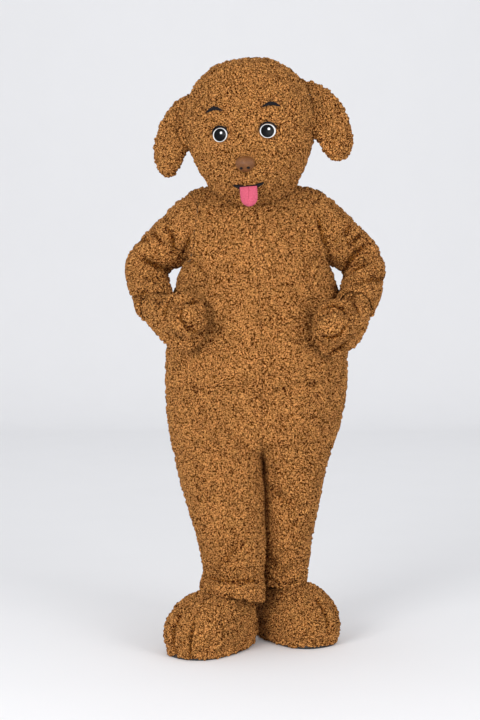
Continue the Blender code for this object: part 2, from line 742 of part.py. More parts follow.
# Face: plain round eyes, short brows, a rounded nose, a smile and a tongue.
EYE_X, EYE_Z = 0.072, -0.034
EYE_HALF_WIDTH, EYE_HALF_HEIGHT = 0.0235, 0.0215
EYE_DOME, EYE_RIM = 0.0065, 0.0025
PUPIL_RADIUS, PUPIL_THICKNESS = 0.0145, 0.0012
GLINT_RADIUS, GLINT_THICKNESS = 0.0040, 0.0008
GLINT_X, GLINT_Z = 0.0045, 0.0055
LID_STEPS, LID_START = 10, math.radians(12.0)
LID_GAP, LID_WIDTH, LID_END_WIDTH, LID_THICKNESS = 0.0016, 0.0052, 0.0012, 0.0035
BROW_X, BROW_Z = 0.086, 0.038
BROW_LENGTH, BROW_WIDTH, BROW_ARCH, BROW_THICKNESS = 0.052, 0.0110, 0.010, 0.003
NOSE_Z, NOSE_TAPER = -0.128, 0.16
NOSE_HALF_WIDTH, NOSE_HALF_HEIGHT, NOSE_DOME, NOSE_RIM = 0.029, 0.024, 0.024, 0.008
NOSTRIL_X, NOSTRIL_Z = 0.0105, -0.140
NOSTRIL_HALF_WIDTH, NOSTRIL_HALF_HEIGHT = 0.0050, 0.0038
NOSTRIL_THICKNESS, NOSTRIL_LIFT = 0.0008, 0.0010
MOUTH_Z, MOUTH_HALF_WIDTH, MOUTH_HEIGHT, MOUTH_THICKNESS = -0.196, 0.046, 0.013, 0.003
TONGUE_TOP, TONGUE_LENGTH, TONGUE_HALF_WIDTH, TONGUE_HALF_THICKNESS = -0.194, 0.060, 0.0265, 0.0045
TONGUE_ROWS, TONGUE_COLUMNS = 8, 6
TONGUE_STRAIGHT, TONGUE_END_THICKNESS = 0.52, 0.45
BROW_STEPS, MOUTH_STEPS = 8, 16
FELT_POINT = 0.002
SMILE = 0.012
DISC_POINTS = 20
IN_FRONT = 0.6
BAND_ROWS = 3


def on_surface(tree, x, z):
    """The point and outward normal of a surface met from the front at this place."""
    hit, normal, _, _ = tree.ray_cast(Vector((x, -IN_FRONT, z)), Vector((0.0, 1.0, 0.0)))
    return hit, normal if normal.y < 0.0 else -normal


def dome(tree, centre, outline, rim, crown, rings, lift=LIFT):
    """A padded plate on a surface: thickness `rim` at its outline, rising to `crown`."""
    shape = bmesh.new()
    tops, bottoms = [], []
    for ring in range(rings + 1):
        share = ring / rings
        thickness = rim + (crown - rim) * math.sqrt(max(0.0, 1.0 - share**2))
        places = [centre] if ring == 0 else [
            (centre[0] + x * share, centre[1] + z * share) for x, z in outline
        ]
        top, bottom = [], []
        for x, z in places:
            hit, normal = on_surface(tree, x, z)
            bottom.append(shape.verts.new(hit + normal * lift))
            top.append(shape.verts.new(hit + normal * lift + Vector((0.0, -thickness, 0.0))))
        tops.append(top)
        bottoms.append(bottom)
    count = len(outline)
    for index in range(count):
        following = (index + 1) % count
        for layer in (tops, bottoms):
            shape.faces.new((layer[0][0], layer[1][index], layer[1][following]))
            for near, far in zip(layer[1:], layer[2:]):
                shape.faces.new((near[index], far[index], far[following], near[following]))
        rim_pair = (tops[-1], bottoms[-1])
        shape.faces.new([layer[at] for layer, at in zip(
            (*rim_pair, *reversed(rim_pair)), (index, index, following, following)
        )])
    bmesh.ops.recalc_face_normals(shape, faces=shape.faces)
    return shape


def oval(half_width, half_height, points=DISC_POINTS):
    """Points of an oval, as offsets from its centre."""
    angles = [math.tau * index / points for index in range(points)]
    return [(half_width * math.cos(angle), half_height * math.sin(angle)) for angle in angles]


def band(tree, lower, upper, thickness, lift=FACE_LIFT):
    """A flat strip on a surface between two lines of (x, z) places."""
    layers = []
    for height in (lift + thickness, lift):
        rows = []
        for step in range(BAND_ROWS + 1):
            share = step / BAND_ROWS
            row = []
            for (x, z), (low_x, low_z) in zip(upper, lower):
                hit, normal = on_surface(tree, x + (low_x - x) * share, z + (low_z - z) * share)
                row.append(hit + normal * height)
            rows.append(row)
        layers.append(rows)
    return slab(*layers)


def tree_of(piece):
    """A ray-cast tree of one piece in its own frame."""
    points = [vert.co.copy() for vert in piece.data.vertices]
    return BVHTree.FromPolygons(points, [list(face.vertices) for face in piece.data.polygons])


def add_eye(frame, skin, side):
    """A domed white, a round pupil with a plain glint, and a dark upper edge."""
    name = SIDE_NAMES[side]
    centre = (EYE_X * side, EYE_Z)
    white = dome(skin, centre, oval(EYE_HALF_WIDTH, EYE_HALF_HEIGHT), EYE_RIM, EYE_DOME, 4, FACE_LIFT)
    pieces = {f"eye_{name}": add_piece(f"eye_{name}", white, "eye_white", frame)}
    ball = tree_of(pieces[f"eye_{name}"])
    round_pupil = oval(PUPIL_RADIUS, PUPIL_RADIUS, 16)
    pupil = dome(ball, centre, round_pupil, PUPIL_THICKNESS, PUPIL_THICKNESS, 2)
    pieces[f"pupil_{name}"] = add_piece(f"pupil_{name}", pupil, "eye_black", frame)
    disc = tree_of(pieces[f"pupil_{name}"])
    spot = (centre[0] + GLINT_X, centre[1] + GLINT_Z)
    round_glint = oval(GLINT_RADIUS, GLINT_RADIUS, 8)
    glint = dome(disc, spot, round_glint, GLINT_THICKNESS, GLINT_THICKNESS, 1)
    pieces[f"glint_{name}"] = add_piece(f"glint_{name}", glint, "eye_white", frame)
    inner, outer = [], []
    for step in range(LID_STEPS + 1):
        share = step / LID_STEPS
        angle = LID_START + (math.pi - 2.0 * LID_START) * share
        width = LID_END_WIDTH + (LID_WIDTH - LID_END_WIDTH) * math.sin(math.pi * share)
        for line, extra in ((inner, LID_GAP), (outer, LID_GAP + width)):
            x = centre[0] + (EYE_HALF_WIDTH + extra) * math.cos(angle)
            line.append((x, centre[1] + (EYE_HALF_HEIGHT + extra) * math.sin(angle)))
    lid = band(skin, inner, outer, LID_THICKNESS)
    pieces[f"lid_{name}"] = add_piece(f"lid_{name}", lid, "eye_black", frame)
    return pieces


def add_brow(frame, skin, side):
    """A short arched felt brow, tapered at both ends."""
    lower, upper = [], []
    for step in range(BROW_STEPS + 1):
        share = step / BROW_STEPS
        x = BROW_X + (share - 0.5) * BROW_LENGTH
        rise = BROW_ARCH * math.sin(math.pi * share)
        width = FELT_POINT + (BROW_WIDTH - FELT_POINT) * math.sin(math.pi * share) ** 0.7
        lower.append((x * side, BROW_Z + rise - width / 2.0))
        upper.append((x * side, BROW_Z + rise + width / 2.0))
    name = f"brow_{SIDE_NAMES[side]}"
    return {name: add_piece(name, band(skin, lower, upper, BROW_THICKNESS, LIFT), "black_felt", frame)}


def add_muzzle(frame, skin):
    """Nose with nostrils, mouth and tongue."""
    outline = []
    for x, z in oval(1.0, 1.0, 24):
        outline.append((x * NOSE_HALF_WIDTH * (1.0 + NOSE_TAPER * z), z * NOSE_HALF_HEIGHT))
    nose = dome(skin, (0.0, NOSE_Z), outline, NOSE_RIM, NOSE_DOME, 4, NOSE_LIFT)
    pieces = {"nose": add_piece("nose", nose, "nose_leather", frame)}
    pad = tree_of(pieces["nose"])
    for side in (LEFT, RIGHT):
        name = f"nostril_{SIDE_NAMES[side]}"
        outline = oval(NOSTRIL_HALF_WIDTH, NOSTRIL_HALF_HEIGHT, 10)
        centre = (NOSTRIL_X * side, NOSTRIL_Z)
        spot = dome(pad, centre, outline, NOSTRIL_THICKNESS, NOSTRIL_THICKNESS, 2, NOSTRIL_LIFT)
        pieces[name] = add_piece(name, spot, "black_felt", frame)
    lower, upper = [], []
    for step in range(MOUTH_STEPS + 1):
        share = step / MOUTH_STEPS * 2.0 - 1.0
        curl = SMILE * share**2
        height = FELT_POINT + (MOUTH_HEIGHT - FELT_POINT) * (1.0 - share**2) ** 0.8
        lower.append((share * MOUTH_HALF_WIDTH, MOUTH_Z + curl - height / 2.0))
        upper.append((share * MOUTH_HALF_WIDTH, MOUTH_Z + curl + height / 2.0))
    pieces["mouth"] = add_piece("mouth", band(skin, lower, upper, MOUTH_THICKNESS), "black_felt", frame)
    lips = tree_of(pieces["mouth"])
    pieces["tongue"] = add_piece("tongue", tongue(skin, lips), "pink_fleece", frame)
    return pieces


def tongue(skin, lips):
    """A padded tongue that hangs from the mouth over the chin."""
    outer, inner = [], []
    depths = [0.0] * (TONGUE_COLUMNS + 1)
    for row in range(TONGUE_ROWS + 1):
        along = row / TONGUE_ROWS
        z = TONGUE_TOP - TONGUE_LENGTH * along
        rounding = max(0.0, (along - TONGUE_STRAIGHT) / (1.02 - TONGUE_STRAIGHT))
        half = TONGUE_HALF_WIDTH * math.sqrt(max(0.06, 1.0 - rounding**2))
        outer_row, inner_row = [], []
        for column in range(TONGUE_COLUMNS + 1):
            across = 1.0 - 2.0 * column / TONGUE_COLUMNS
            x = across * half
            depths[column] = back = hanging_depth((skin, lips), x, z, depths[column])
            full = TONGUE_HALF_THICKNESS * math.sqrt(max(0.12, 1.0 - abs(across) ** 2.5))
            full *= TONGUE_END_THICKNESS if row in (0, TONGUE_ROWS) else 1.0
            inner_row.append(Vector((x, back, z)))
            outer_row.append(Vector((x, back - 2.0 * full, z)))
        outer.append(outer_row)
        inner.append(inner_row)
    return slab(outer, inner)


def hanging_depth(trees, x, z, above):
    """The y at which a hanging piece clears what is behind it, no deeper than the row above."""
    depths = [above]
    for tree in trees:
        hit = tree.ray_cast(Vector((x, -IN_FRONT, z)), Vector((0.0, 1.0, 0.0)))[0]
        if hit is not None:
            depths.append(hit.y - FACE_LIFT)
    return min(depths)


# ----------------------------------------------------------------------------- mitts

MITT_BACK, MITT_PALM, MITT_THUMB = range(3)
MITT_PANELS = {"mitt_back": MITT_BACK, "mitt_palm": MITT_PALM, "mitt_thumb": MITT_THUMB}
THUMB_ROWS, THUMB_COLUMNS = range(5, 9), range(14, 20)
THUMB_REACH, THUMB_ROW, THUMB_ANGLE = 0.034, 6.8, math.radians(255.0)
THUMB_HALF_ROWS, THUMB_HALF_ANGLE = 2.3, 0.62
KNUCKLE_GROOVE, KNUCKLE_WIDTH = 0.020, 0.24
KNUCKLE_ANGLES = (math.radians(210.0), math.radians(300.0))


def mitt_sheet(side):
    """A closed fist with two finger lobes and the thumb across them, open at the wrist."""
    sheet = bmesh.new()
    rings = []
    path = []
    for row, ring in enumerate(MITT):
        share = min(1.0, max(0.0, (row - WRIST_ROWS + 1) / 2.0))
        moved = Vector((ring.x, ring.y, ring.z)) + MITT_SHIFT[side] * share
        path.append(ring._replace(x=moved.x, y=moved.y, z=moved.z))
    for row, points in enumerate(tube_rings(path[:-1], MITT_COLUMNS, 1.0, side, (0.0, 0.0, -1.0))):
        centre = Vector((path[row].x * side, path[row].y, path[row].z))
        ring = []
        for column, point in enumerate(points):
            angle = math.tau * column / MITT_COLUMNS
            outward = (point - centre).normalized()
            rows_off = (row - THUMB_ROW) / THUMB_HALF_ROWS
            turn_off = (angle - THUMB_ANGLE) / THUMB_HALF_ANGLE
            bulge = THUMB_REACH * math.sqrt(max(0.0, 1.0 - rows_off**2 - turn_off**2))
            fade = min(1.0, max(0.0, row / 2.0 - 1.0))
            for groove in KNUCKLE_ANGLES:
                bulge -= KNUCKLE_GROOVE * fade * math.exp(-(((angle - groove) / KNUCKLE_WIDTH) ** 2))
            ring.append(sheet.verts.new(point + outward * bulge))
        rings.append(ring)

    def panel_of(row, column):
        if row in THUMB_ROWS and column in THUMB_COLUMNS:
            return MITT_THUMB
        return MITT_PALM if column < MITT_COLUMNS // 2 else MITT_BACK

    mirrored = side == RIGHT
    for row, (upper, lower) in enumerate(zip(rings, rings[1:])):
        stitch(sheet, upper, lower, lambda column: panel_of(row, column), mirrored)
    tip = sheet.verts.new((path[-1].x * side, path[-1].y, path[-1].z))
    last = rings[-1]
    for column in range(MITT_COLUMNS):
        corners = [last[column], tip, last[(column + 1) % MITT_COLUMNS]]
        face = sheet.faces.new(reversed(corners) if mirrored else corners)
        face.material_index = MITT_PALM if column < MITT_COLUMNS // 2 else MITT_BACK
    sheet.normal_update()
    return sheet


def add_mitt(root, collection, side):
    frame = add_empty(f"mitt_{SIDE_NAMES[side]}_frame", collection, root)
    sheet = mitt_sheet(side)
    pieces = {}
    for stem, panel in MITT_PANELS.items():
        name = f"{stem}_{SIDE_NAMES[side]}"
        pieces[name] = add_piece(name, panel_wall(sheet, panel, FUR_WALL), "brown_fur", frame)
    sheet.free()
    return frame, pieces


# ----------------------------------------------------------------------------- shoes

# Rows of the upper from the sole to the ankle collar: how much of the plan outline is left, the
# share of the way from the plan's centre to the ankle, and the height.
UpperRow = namedtuple("UpperRow", "plan to_ankle height groove")
UPPER = (
    UpperRow(0.915, 0.00, 0.0124, 0.55),
    UpperRow(1.000, 0.00, 0.0380, 1.00),
    UpperRow(1.000, 0.02, 0.0690, 1.00),
    UpperRow(0.965, 0.07, 0.0990, 0.85),
    UpperRow(0.870, 0.18, 0.1310, 0.55),
    UpperRow(0.705, 0.40, 0.1620, 0.20),
    UpperRow(0.500, 0.74, 0.1764, 0.00),
)
ANKLE_Y = 0.062
ANKLE_RADIUS = 0.052
COLLAR_HEIGHTS = (0.182, 0.214)
SHOE_FRONT, SHOE_HEEL = range(2)
TOE_GROOVES = (-math.radians(30.0), 0.0, math.radians(30.0))
GROOVE_WIDTH = 0.14
OUTLINE_POWER = 0.82


def plan_point(angle):
    """A point of the shoe's plan outline, from the middle toe round by +X."""
    mean, flare = (SHOE_TOE_WIDTH + SHOE_HEEL_WIDTH) / 4.0, (SHOE_TOE_WIDTH - SHOE_HEEL_WIDTH) / 4.0
    half_width = mean + flare * math.cos(angle)
    x = half_width * powered(math.sin(angle), OUTLINE_POWER)
    return Vector((x, -SHOE_LENGTH / 2.0 * powered(math.cos(angle), OUTLINE_POWER), 0.0))


def shoe_sheet():
    """The fur upper from the sole to the ankle, with its toes drawn in by three grooves."""
    sheet = bmesh.new()
    ankle = Vector((0.0, ANKLE_Y, 0.0))
    rings = []
    for row in UPPER:
        ring = []
        for column in range(SHOE_COLUMNS):
            angle = math.tau * column / SHOE_COLUMNS
            signed = math.remainder(angle, math.tau)
            plan = plan_point(angle)
            inset = sum(math.exp(-(((signed - groove) / GROOVE_WIDTH) ** 2)) for groove in TOE_GROOVES)
            plan -= plan.normalized() * TOE_GROOVE_DEPTH * row.groove * inset
            point = plan * row.plan + ankle * row.to_ankle
            sink = TOE_GROOVE_SINK * row.groove * inset if row.height > TOE_TOP else 0.0
            ring.append(sheet.verts.new((point.x, point.y, row.height - sink)))
        rings.append(ring)
    for height in COLLAR_HEIGHTS:
        ring = []
        for column in range(SHOE_COLUMNS):
            angle = math.tau * column / SHOE_COLUMNS
            reach = Vector((math.sin(angle), -math.cos(angle), 0.0)) * ANKLE_RADIUS
            ring.append(sheet.verts.new(ankle + reach + Vector((0.0, 0.0, height))))
        rings.append(ring)
    heel = range(SHOE_COLUMNS // 4, 3 * SHOE_COLUMNS // 4)
    for lower, upper in zip(rings, rings[1:]):
        stitch(sheet, upper, lower, lambda column: SHOE_HEEL if column in heel else SHOE_FRONT)
    sheet.normal_update()
    return sheet


def shoe_sole():
    """The flat black sole, a little inside the upper's outline."""
    shape = bmesh.new()
    angles = [math.tau * column / SHOE_COLUMNS for column in range(SHOE_COLUMNS)]
    bottom = [shape.verts.new(plan_point(angle) * UPPER[0].plan) for angle in angles]
    face = shape.faces.new(bottom)
    raised = bmesh.ops.extrude_face_region(shape, geom=[face])["geom"]
    for item in raised:
        if isinstance(item, bmesh.types.BMVert):
            item.co.z += SOLE_THICKNESS
    bmesh.ops.recalc_face_normals(shape, faces=shape.faces)
    return shape


def add_shoe(root, collection, side):
    place = SHOES[side]
    name = SIDE_NAMES[side]
    stand = (place.x, place.y, 0.0)
    frame = add_empty(f"shoe_{name}_frame", collection, root, stand, (0.0, 0.0, place.turn))
    sheet = shoe_sheet()
    for stem, panel in (("shoe_front", SHOE_FRONT), ("shoe_heel", SHOE_HEEL)):
        add_piece(f"{stem}_{name}", panel_wall(sheet, panel, SHOE_WALL), "brown_fur", frame)
    sheet.free()
    add_piece(f"shoe_sole_{name}", shoe_sole(), "sole_rubber", frame)


# ----------------------------------------------------------------------------- the costume


def main():
    clear_scene()
    collection = bpy.data.collections.new("dog_mascot_costume")
    bpy.context.scene.collection.children.link(collection)
    root = add_empty("wearer_shoulders", collection, None, (0.0, 0.0, -SHOULDER_HEIGHT))
    jumpsuit = add_jumpsuit(root)
    body = list(jumpsuit.values())
    head_frame, head = add_head(root, collection, body)
    seat(head_frame, list(head.values()), body, (0.0, 0.0, -1.0), HEAD_GAP)
    trunk = [jumpsuit["front_left"], jumpsuit["front_right"]]
    for side in (LEFT, RIGHT):
        mitt_frame, mitt = add_mitt(root, collection, side)
        seat(mitt_frame, list(mitt.values()), trunk, (0.0, 1.0, 0.0))
        add_shoe(root, collection, side)


main()
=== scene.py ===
"""Looks of a brown teddy-fur dog mascot costume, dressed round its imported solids.

The costume faces -Y and the wearer's left is +X. The row frame's origin is between the wearer's
shoulders, and heights named `height` are measured from the floor under the soles.
"""

import json
import logging
import math
from dataclasses import dataclass, field
from enum import Enum
from typing import Any, Iterable, Optional, Sequence, Union

import bmesh
import bpy
import numpy as np
from mathutils import Matrix, Vector, noise
from mathutils.bvhtree import BVHTree
from mathutils.kdtree import KDTree

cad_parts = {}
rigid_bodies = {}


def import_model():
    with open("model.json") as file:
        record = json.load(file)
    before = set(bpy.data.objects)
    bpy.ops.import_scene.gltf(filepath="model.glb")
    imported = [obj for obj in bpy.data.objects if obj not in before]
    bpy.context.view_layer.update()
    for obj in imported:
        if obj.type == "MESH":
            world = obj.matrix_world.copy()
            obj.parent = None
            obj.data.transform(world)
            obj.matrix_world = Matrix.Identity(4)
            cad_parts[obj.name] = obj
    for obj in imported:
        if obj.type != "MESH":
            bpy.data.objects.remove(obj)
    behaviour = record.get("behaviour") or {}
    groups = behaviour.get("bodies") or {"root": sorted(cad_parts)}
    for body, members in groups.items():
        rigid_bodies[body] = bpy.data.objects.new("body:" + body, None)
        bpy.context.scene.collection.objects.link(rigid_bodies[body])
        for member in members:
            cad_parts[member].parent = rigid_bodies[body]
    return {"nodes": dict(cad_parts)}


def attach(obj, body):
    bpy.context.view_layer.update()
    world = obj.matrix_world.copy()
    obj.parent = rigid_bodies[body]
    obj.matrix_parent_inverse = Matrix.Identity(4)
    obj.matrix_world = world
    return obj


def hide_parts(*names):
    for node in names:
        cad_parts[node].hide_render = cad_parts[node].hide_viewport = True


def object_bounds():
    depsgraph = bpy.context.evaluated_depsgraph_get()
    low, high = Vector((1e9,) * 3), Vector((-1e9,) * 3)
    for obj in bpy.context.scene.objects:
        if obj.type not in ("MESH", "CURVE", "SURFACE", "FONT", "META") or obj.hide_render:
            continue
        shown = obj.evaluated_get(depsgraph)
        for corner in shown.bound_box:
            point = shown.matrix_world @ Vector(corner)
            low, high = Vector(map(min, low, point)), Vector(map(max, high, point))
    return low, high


for leftover in list(bpy.data.objects):
    bpy.data.objects.remove(leftover)
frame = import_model()
PACKED_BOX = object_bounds()
FLOOR = PACKED_BOX[0].z

logging.basicConfig(level=logging.INFO, format="%(message)s")
log = logging.getLogger("costume")

Colour = tuple[float, float, float]
Point = tuple[float, float, float]
BODY = "root"
MERGE = 1e-5
SIDES = ("left", "right")


def box_of(node: str) -> tuple[Vector, Vector]:
    """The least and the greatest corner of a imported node."""
    packed = bpy.data.objects[node]
    places = [packed.matrix_world @ vert.co for vert in packed.data.vertices]
    return (
        Vector([min(place[axis] for place in places) for axis in range(3)]),
        Vector([max(place[axis] for place in places) for axis in range(3)]),
    )


# ------------------------------------------------------------------------------ shader maths


class Term:
    """A socket of a node tree on which arithmetic adds Math nodes."""

    def __init__(self, graph: "Graph", socket: bpy.types.NodeSocket) -> None:
        """Wraps one output socket of a graph."""
        self.graph = graph
        self.socket = socket

    def _math(self, operation: str, first: "Entry", second: "Entry") -> "Term":
        """Adds one Math node.

        Args:
            operation: the node's operation.
            first: its first value.
            second: its second value.

        Returns:
            The node's result.
        """
        return self.graph.node("ShaderNodeMath", {"operation": operation}, {0: first, 1: second})

    def __add__(self, other: "Entry") -> "Term":
        """Sum."""
        return self._math("ADD", self, other)

    def __radd__(self, other: "Entry") -> "Term":
        """Sum with a number before it."""
        return self._math("ADD", other, self)

    def __sub__(self, other: "Entry") -> "Term":
        """Difference."""
        return self._math("SUBTRACT", self, other)

    def __rsub__(self, other: "Entry") -> "Term":
        """Difference from a number."""
        return self._math("SUBTRACT", other, self)

    def __mul__(self, other: "Entry") -> "Term":
        """Product."""
        return self._math("MULTIPLY", self, other)

    def __rmul__(self, other: "Entry") -> "Term":
        """Product with a number before it."""
        return self._math("MULTIPLY", other, self)

    def __truediv__(self, other: "Entry") -> "Term":
        """Quotient."""
        return self._math("DIVIDE", self, other)

    def __rtruediv__(self, other: "Entry") -> "Term":
        """A number divided by it."""
        return self._math("DIVIDE", other, self)

    def __pow__(self, other: "Entry") -> "Term":
        """Power."""
        return self._math("POWER", self, other)

    def __rpow__(self, other: "Entry") -> "Term":
        """A number raised to it."""
        return self._math("POWER", other, self)

    def above(self, other: "Entry") -> "Term":
        """The larger of two values."""
        return self._math("MAXIMUM", self, other)

    def below(self, other: "Entry") -> "Term":
        """The smaller of two values."""
        return self._math("MINIMUM", self, other)


Entry = Union[Term, float, int, Sequence[float]]


class Graph:
    """The node tree of one finish, round a Principled shader."""

    def __init__(self, name: str) -> None:
        """Makes the material and finds its shader."""
        self.material = bpy.data.materials.new(name)
        self.material.use_nodes = True
        self.tree = self.material.node_tree
        self.shader = self.tree.nodes["Principled BSDF"]

    def node(
        self,
        kind: str,
        settings: Optional[dict[str, Any]] = None,
        inputs: Optional[dict[Union[int, str], Entry]] = None,
        output: Union[int, str] = 0,
    ) -> Term:
        """Adds one node.

        Args:
            kind: the node's type.
            settings: its properties; `stops` are a colour ramp's (place, colour) pairs.
            inputs: values or terms by socket name or index.
            output: the socket that is handed back.

        Returns:
            The output socket as a term.
        """
        made = self.tree.nodes.new(kind)
        for key, value in (settings or {}).items():
            if key == "stops":
                self._stops(made.color_ramp, value)
            else:
                setattr(made, key, value)
        for key, value in (inputs or {}).items():
            self._feed(made.inputs[key], value)
        return Term(self, made.outputs[output])

    def _feed(self, socket: bpy.types.NodeSocket, value: Entry) -> None:
        """Links a term to a socket, or sets a plain value on it."""
        if isinstance(value, Term):
            self.tree.links.new(value.socket, socket)
        elif isinstance(value, (int, float)):
            socket.default_value = value
        else:
            sized = len(socket.default_value)
            socket.default_value = (tuple(value) + (1.0,))[:sized]

    @staticmethod
    def _stops(ramp: bpy.types.ColorRamp, stops: Sequence[tuple[float, Colour]]) -> None:
        """Sets a ramp's stops."""
        while len(ramp.elements) < len(stops):
            ramp.elements.new(1.0)
        for element, (place, colour) in zip(ramp.elements, stops):
            element.position = place
            element.color = (*colour, 1.0)

    def place(self) -> Term:
        """Object coordinates."""
        return self.node("ShaderNodeTexCoord", output="Object")

    def scaled(self, place: Term, size: Sequence[float]) -> Term:
        """Coordinates multiplied along each axis."""
        return self.node("ShaderNodeVectorMath", {"operation": "MULTIPLY"}, {0: place, 1: size})

    def moved(self, place: Term, by: Term) -> Term:
        """Coordinates with another vector added."""
        return self.node("ShaderNodeVectorMath", {"operation": "ADD"}, {0: place, 1: by})

    def axis(self, place: Term, name: str) -> Term:
        """One coordinate of a vector."""
        return self.node("ShaderNodeSeparateXYZ", None, {0: place}, name)

    def noise(self, place: Term, scale: float, detail: float = 2.0, roughness: float = 0.5) -> Term:
        """Soft noise from 0 to 1."""
        values = {"Vector": place, "Scale": scale, "Detail": detail, "Roughness": roughness}
        return self.node("ShaderNodeTexNoise", None, values, "Fac")

    def cells(self, place: Term, scale: float, feature: str = "F1", output: str = "Distance") -> Term:
        """A Voronoi pattern's distance or colour."""
        values = {"Vector": place, "Scale": scale}
        return self.node("ShaderNodeTexVoronoi", {"feature": feature}, values, output)

    def attribute(self, name: str) -> Term:
        """A number stored on the piece's points."""
        return self.node("ShaderNodeAttribute", {"attribute_name": name}, None, "Fac")

    def ramp(self, value: Term, stops: Sequence[tuple[float, Colour]]) -> Term:
        """A colour ramp over a value."""
        return self.node("ShaderNodeValToRGB", {"stops": stops}, {"Fac": value}, "Color")

    def spread(self, value: Term, low: float, high: float, to: tuple[float, float] = (0.0, 1.0)) -> Term:
        """Maps low..high smoothly to another range, held at its ends."""
        values = {"Value": value, "From Min": low, "From Max": high, "To Min": to[0], "To Max": to[1]}
        return self.node("ShaderNodeMapRange", {"interpolation_type": "SMOOTHSTEP"}, values, "Result")

    def mixed(self, share: Entry, first: Entry, second: Entry, blend: str = "MIX") -> Term:
        """Two colours mixed by a share."""
        settings = {"data_type": "RGBA", "blend_type": blend}
        return self.node("ShaderNodeMix", settings, {0: share, 6: first, 7: second}, 2)

    def shaded(self, colour: Entry, value: Term) -> Term:
        """A colour multiplied by a number."""
        grey = self.node("ShaderNodeCombineXYZ", None, {0: value, 1: value, 2: value})
        return self.node("ShaderNodeVectorMath", {"operation": "MULTIPLY"}, {0: colour, 1: grey})

    def bumped(self, height: Term, strength: float, distance: float) -> Term:
        """A bump normal from a height."""
        values = {"Height": height, "Strength": strength, "Distance": distance}
        return self.node("ShaderNodeBump", None, values, "Normal")

    def finish(self, **values: Entry) -> bpy.types.Material:
        """Feeds the shader's sockets, named with underscores for blanks.

        Args:
            values: values or terms by socket name.

        Returns:
            The finished material.
        """
        for key, value in values.items():
            self._feed(self.shader.inputs[key.replace("_", " ")], value)
        return self.material


# ------------------------------------------------------------------------------ finishes


@dataclass(frozen=True)
class TeddyFur:
    """Curly teddy pile: caramel curls, with painted shade between them and a painted highlight on their crests."""

    # The gap colour is painted shade between the curls, and the crest colour is a painted highlight on their tops.
    gap_shade: Colour = (0.028, 0.004, 0.0001)
    body: Colour = (0.205, 0.062, 0.005)
    crest_highlight: Colour = (0.740, 0.345, 0.110)
    red: Colour = (0.270, 0.070, 0.008)
    gold: Colour = (0.255, 0.112, 0.012)
    bend: float = 130.0
    reach: float = 0.006
    worm: float = 148.0
    kink: float = 172.0
    strand: float = 195.0

    def material(self) -> bpy.types.Material:
        """Builds the finish from worm-like locks and the piece's `pile` and `tone` values, with painted shade in the
        gaps and creases and a painted highlight on the crests.
        """
        graph = Graph("teddy_fur")
        place = graph.place()
        pile = graph.attribute("pile")
        tone = graph.attribute("tone")
        drift = graph.node("ShaderNodeTexNoise", None, {"Vector": place, "Scale": self.bend, "Detail": 1.0}, "Color")
        curled = graph.moved(place, graph.scaled(drift, (self.reach,) * 3))
        curls = self._between(graph, curled, self.worm, 0.0060).below(self._between(graph, curled, self.kink, 0.0040))
        strands = graph.noise(curled, self.strand, 1.0, 0.5)
        patches = graph.noise(place, 6.0, 3.0, 0.5)
        # Low depth is painted shade between the curls and, through the darkened pile value, in the creases; high depth
        # is a painted highlight on the crests.
        depth = pile * 0.20 + curls * 0.68 + (strands - 0.5) * 0.85 - 0.01
        colour = graph.ramp(depth, [(0.12, self.gap_shade), (0.44, self.body), (0.80, self.crest_highlight)])
        tint = graph.mixed(tone, self.red, self.gold)
        colour = graph.mixed(graph.spread(depth, 0.15, 0.50, (0.0, 0.30)), colour, tint)
        colour = graph.shaded(colour, 0.86 + patches * 0.28)
        height = pile * 0.2 + curls * 0.9 + strands * 0.4
        return graph.finish(
            Base_Color=colour,
            Roughness=graph.spread(depth, 0.0, 1.0, (1.0, 0.80)),
            Normal=graph.bumped(height, 0.85, 0.0026),
            Specular_IOR_Level=0.08,
            Sheen_Weight=0.06,
            Sheen_Roughness=0.45,
            Sheen_Tint=(0.95, 0.56, 0.22),
        )

    @staticmethod
    def _between(graph: Graph, place: Term, scale: float, width: float) -> Term:
        """Winding gaps: 0 along them and 1 on the curls between."""
        level = graph.noise(place, scale, 0.0) - 0.5
        return graph.spread(level * level, 0.0, width)


@dataclass(frozen=True)
class Backing:
    """The knitted back of the fur cloth, seen in the open cuffs and hems."""

    yarn: Colour = (0.210, 0.110, 0.045)
    hollow: Colour = (0.080, 0.038, 0.014)
    stitch: float = 620.0

    def material(self) -> bpy.types.Material:
        """Builds fine knit ribs with a little fluff, darker in their hollows as painted shade."""
        graph = Graph("fur_backing")
        place = graph.place()
        wale = graph.node("ShaderNodeTexWave", {"bands_direction": "DIAGONAL"}, {"Vector": place, "Scale": self.stitch})
        fluff = graph.noise(place, 340.0, 3.0, 0.6)
        depth = wale * 0.6 + fluff * 0.4
        return graph.finish(
            # The hollow colour in the knit's low places is painted shade.
            Base_Color=graph.ramp(depth, [(0.1, self.hollow), (0.8, self.yarn)]),
            Roughness=graph.spread(fluff, 0.2, 0.8, (0.85, 0.98)),
            Normal=graph.bumped(depth, 0.5, 0.0008),
        )


@dataclass(frozen=True)
class EyeEnamel:
    """Smooth domed plastic with a clear gloss."""

    name: str
    colour: Colour
    shade: Colour
    gloss: float = 0.16
    coat: float = 0.6
    shine: float = 0.5

    def material(self) -> bpy.types.Material:
        """Builds gloss plastic with faint clouding and handling marks."""
        graph = Graph(self.name)
        place = graph.place()
        cloud = graph.noise(place, 90.0, 2.0, 0.5)
        marks = graph.noise(graph.scaled(place, (1.0, 1.0, 7.0)), 420.0, 2.0, 0.6)
        return graph.finish(
            Base_Color=graph.mixed(graph.spread(cloud, 0.30, 0.75), self.colour, self.shade),
            Roughness=graph.spread(marks, 0.35, 0.80, (self.gloss, self.gloss + 0.10)),
            Normal=graph.bumped(marks, 0.06, 0.0003),
            Specular_IOR_Level=self.shine,
            Coat_Weight=self.coat,
            Coat_Roughness=0.06,
        )


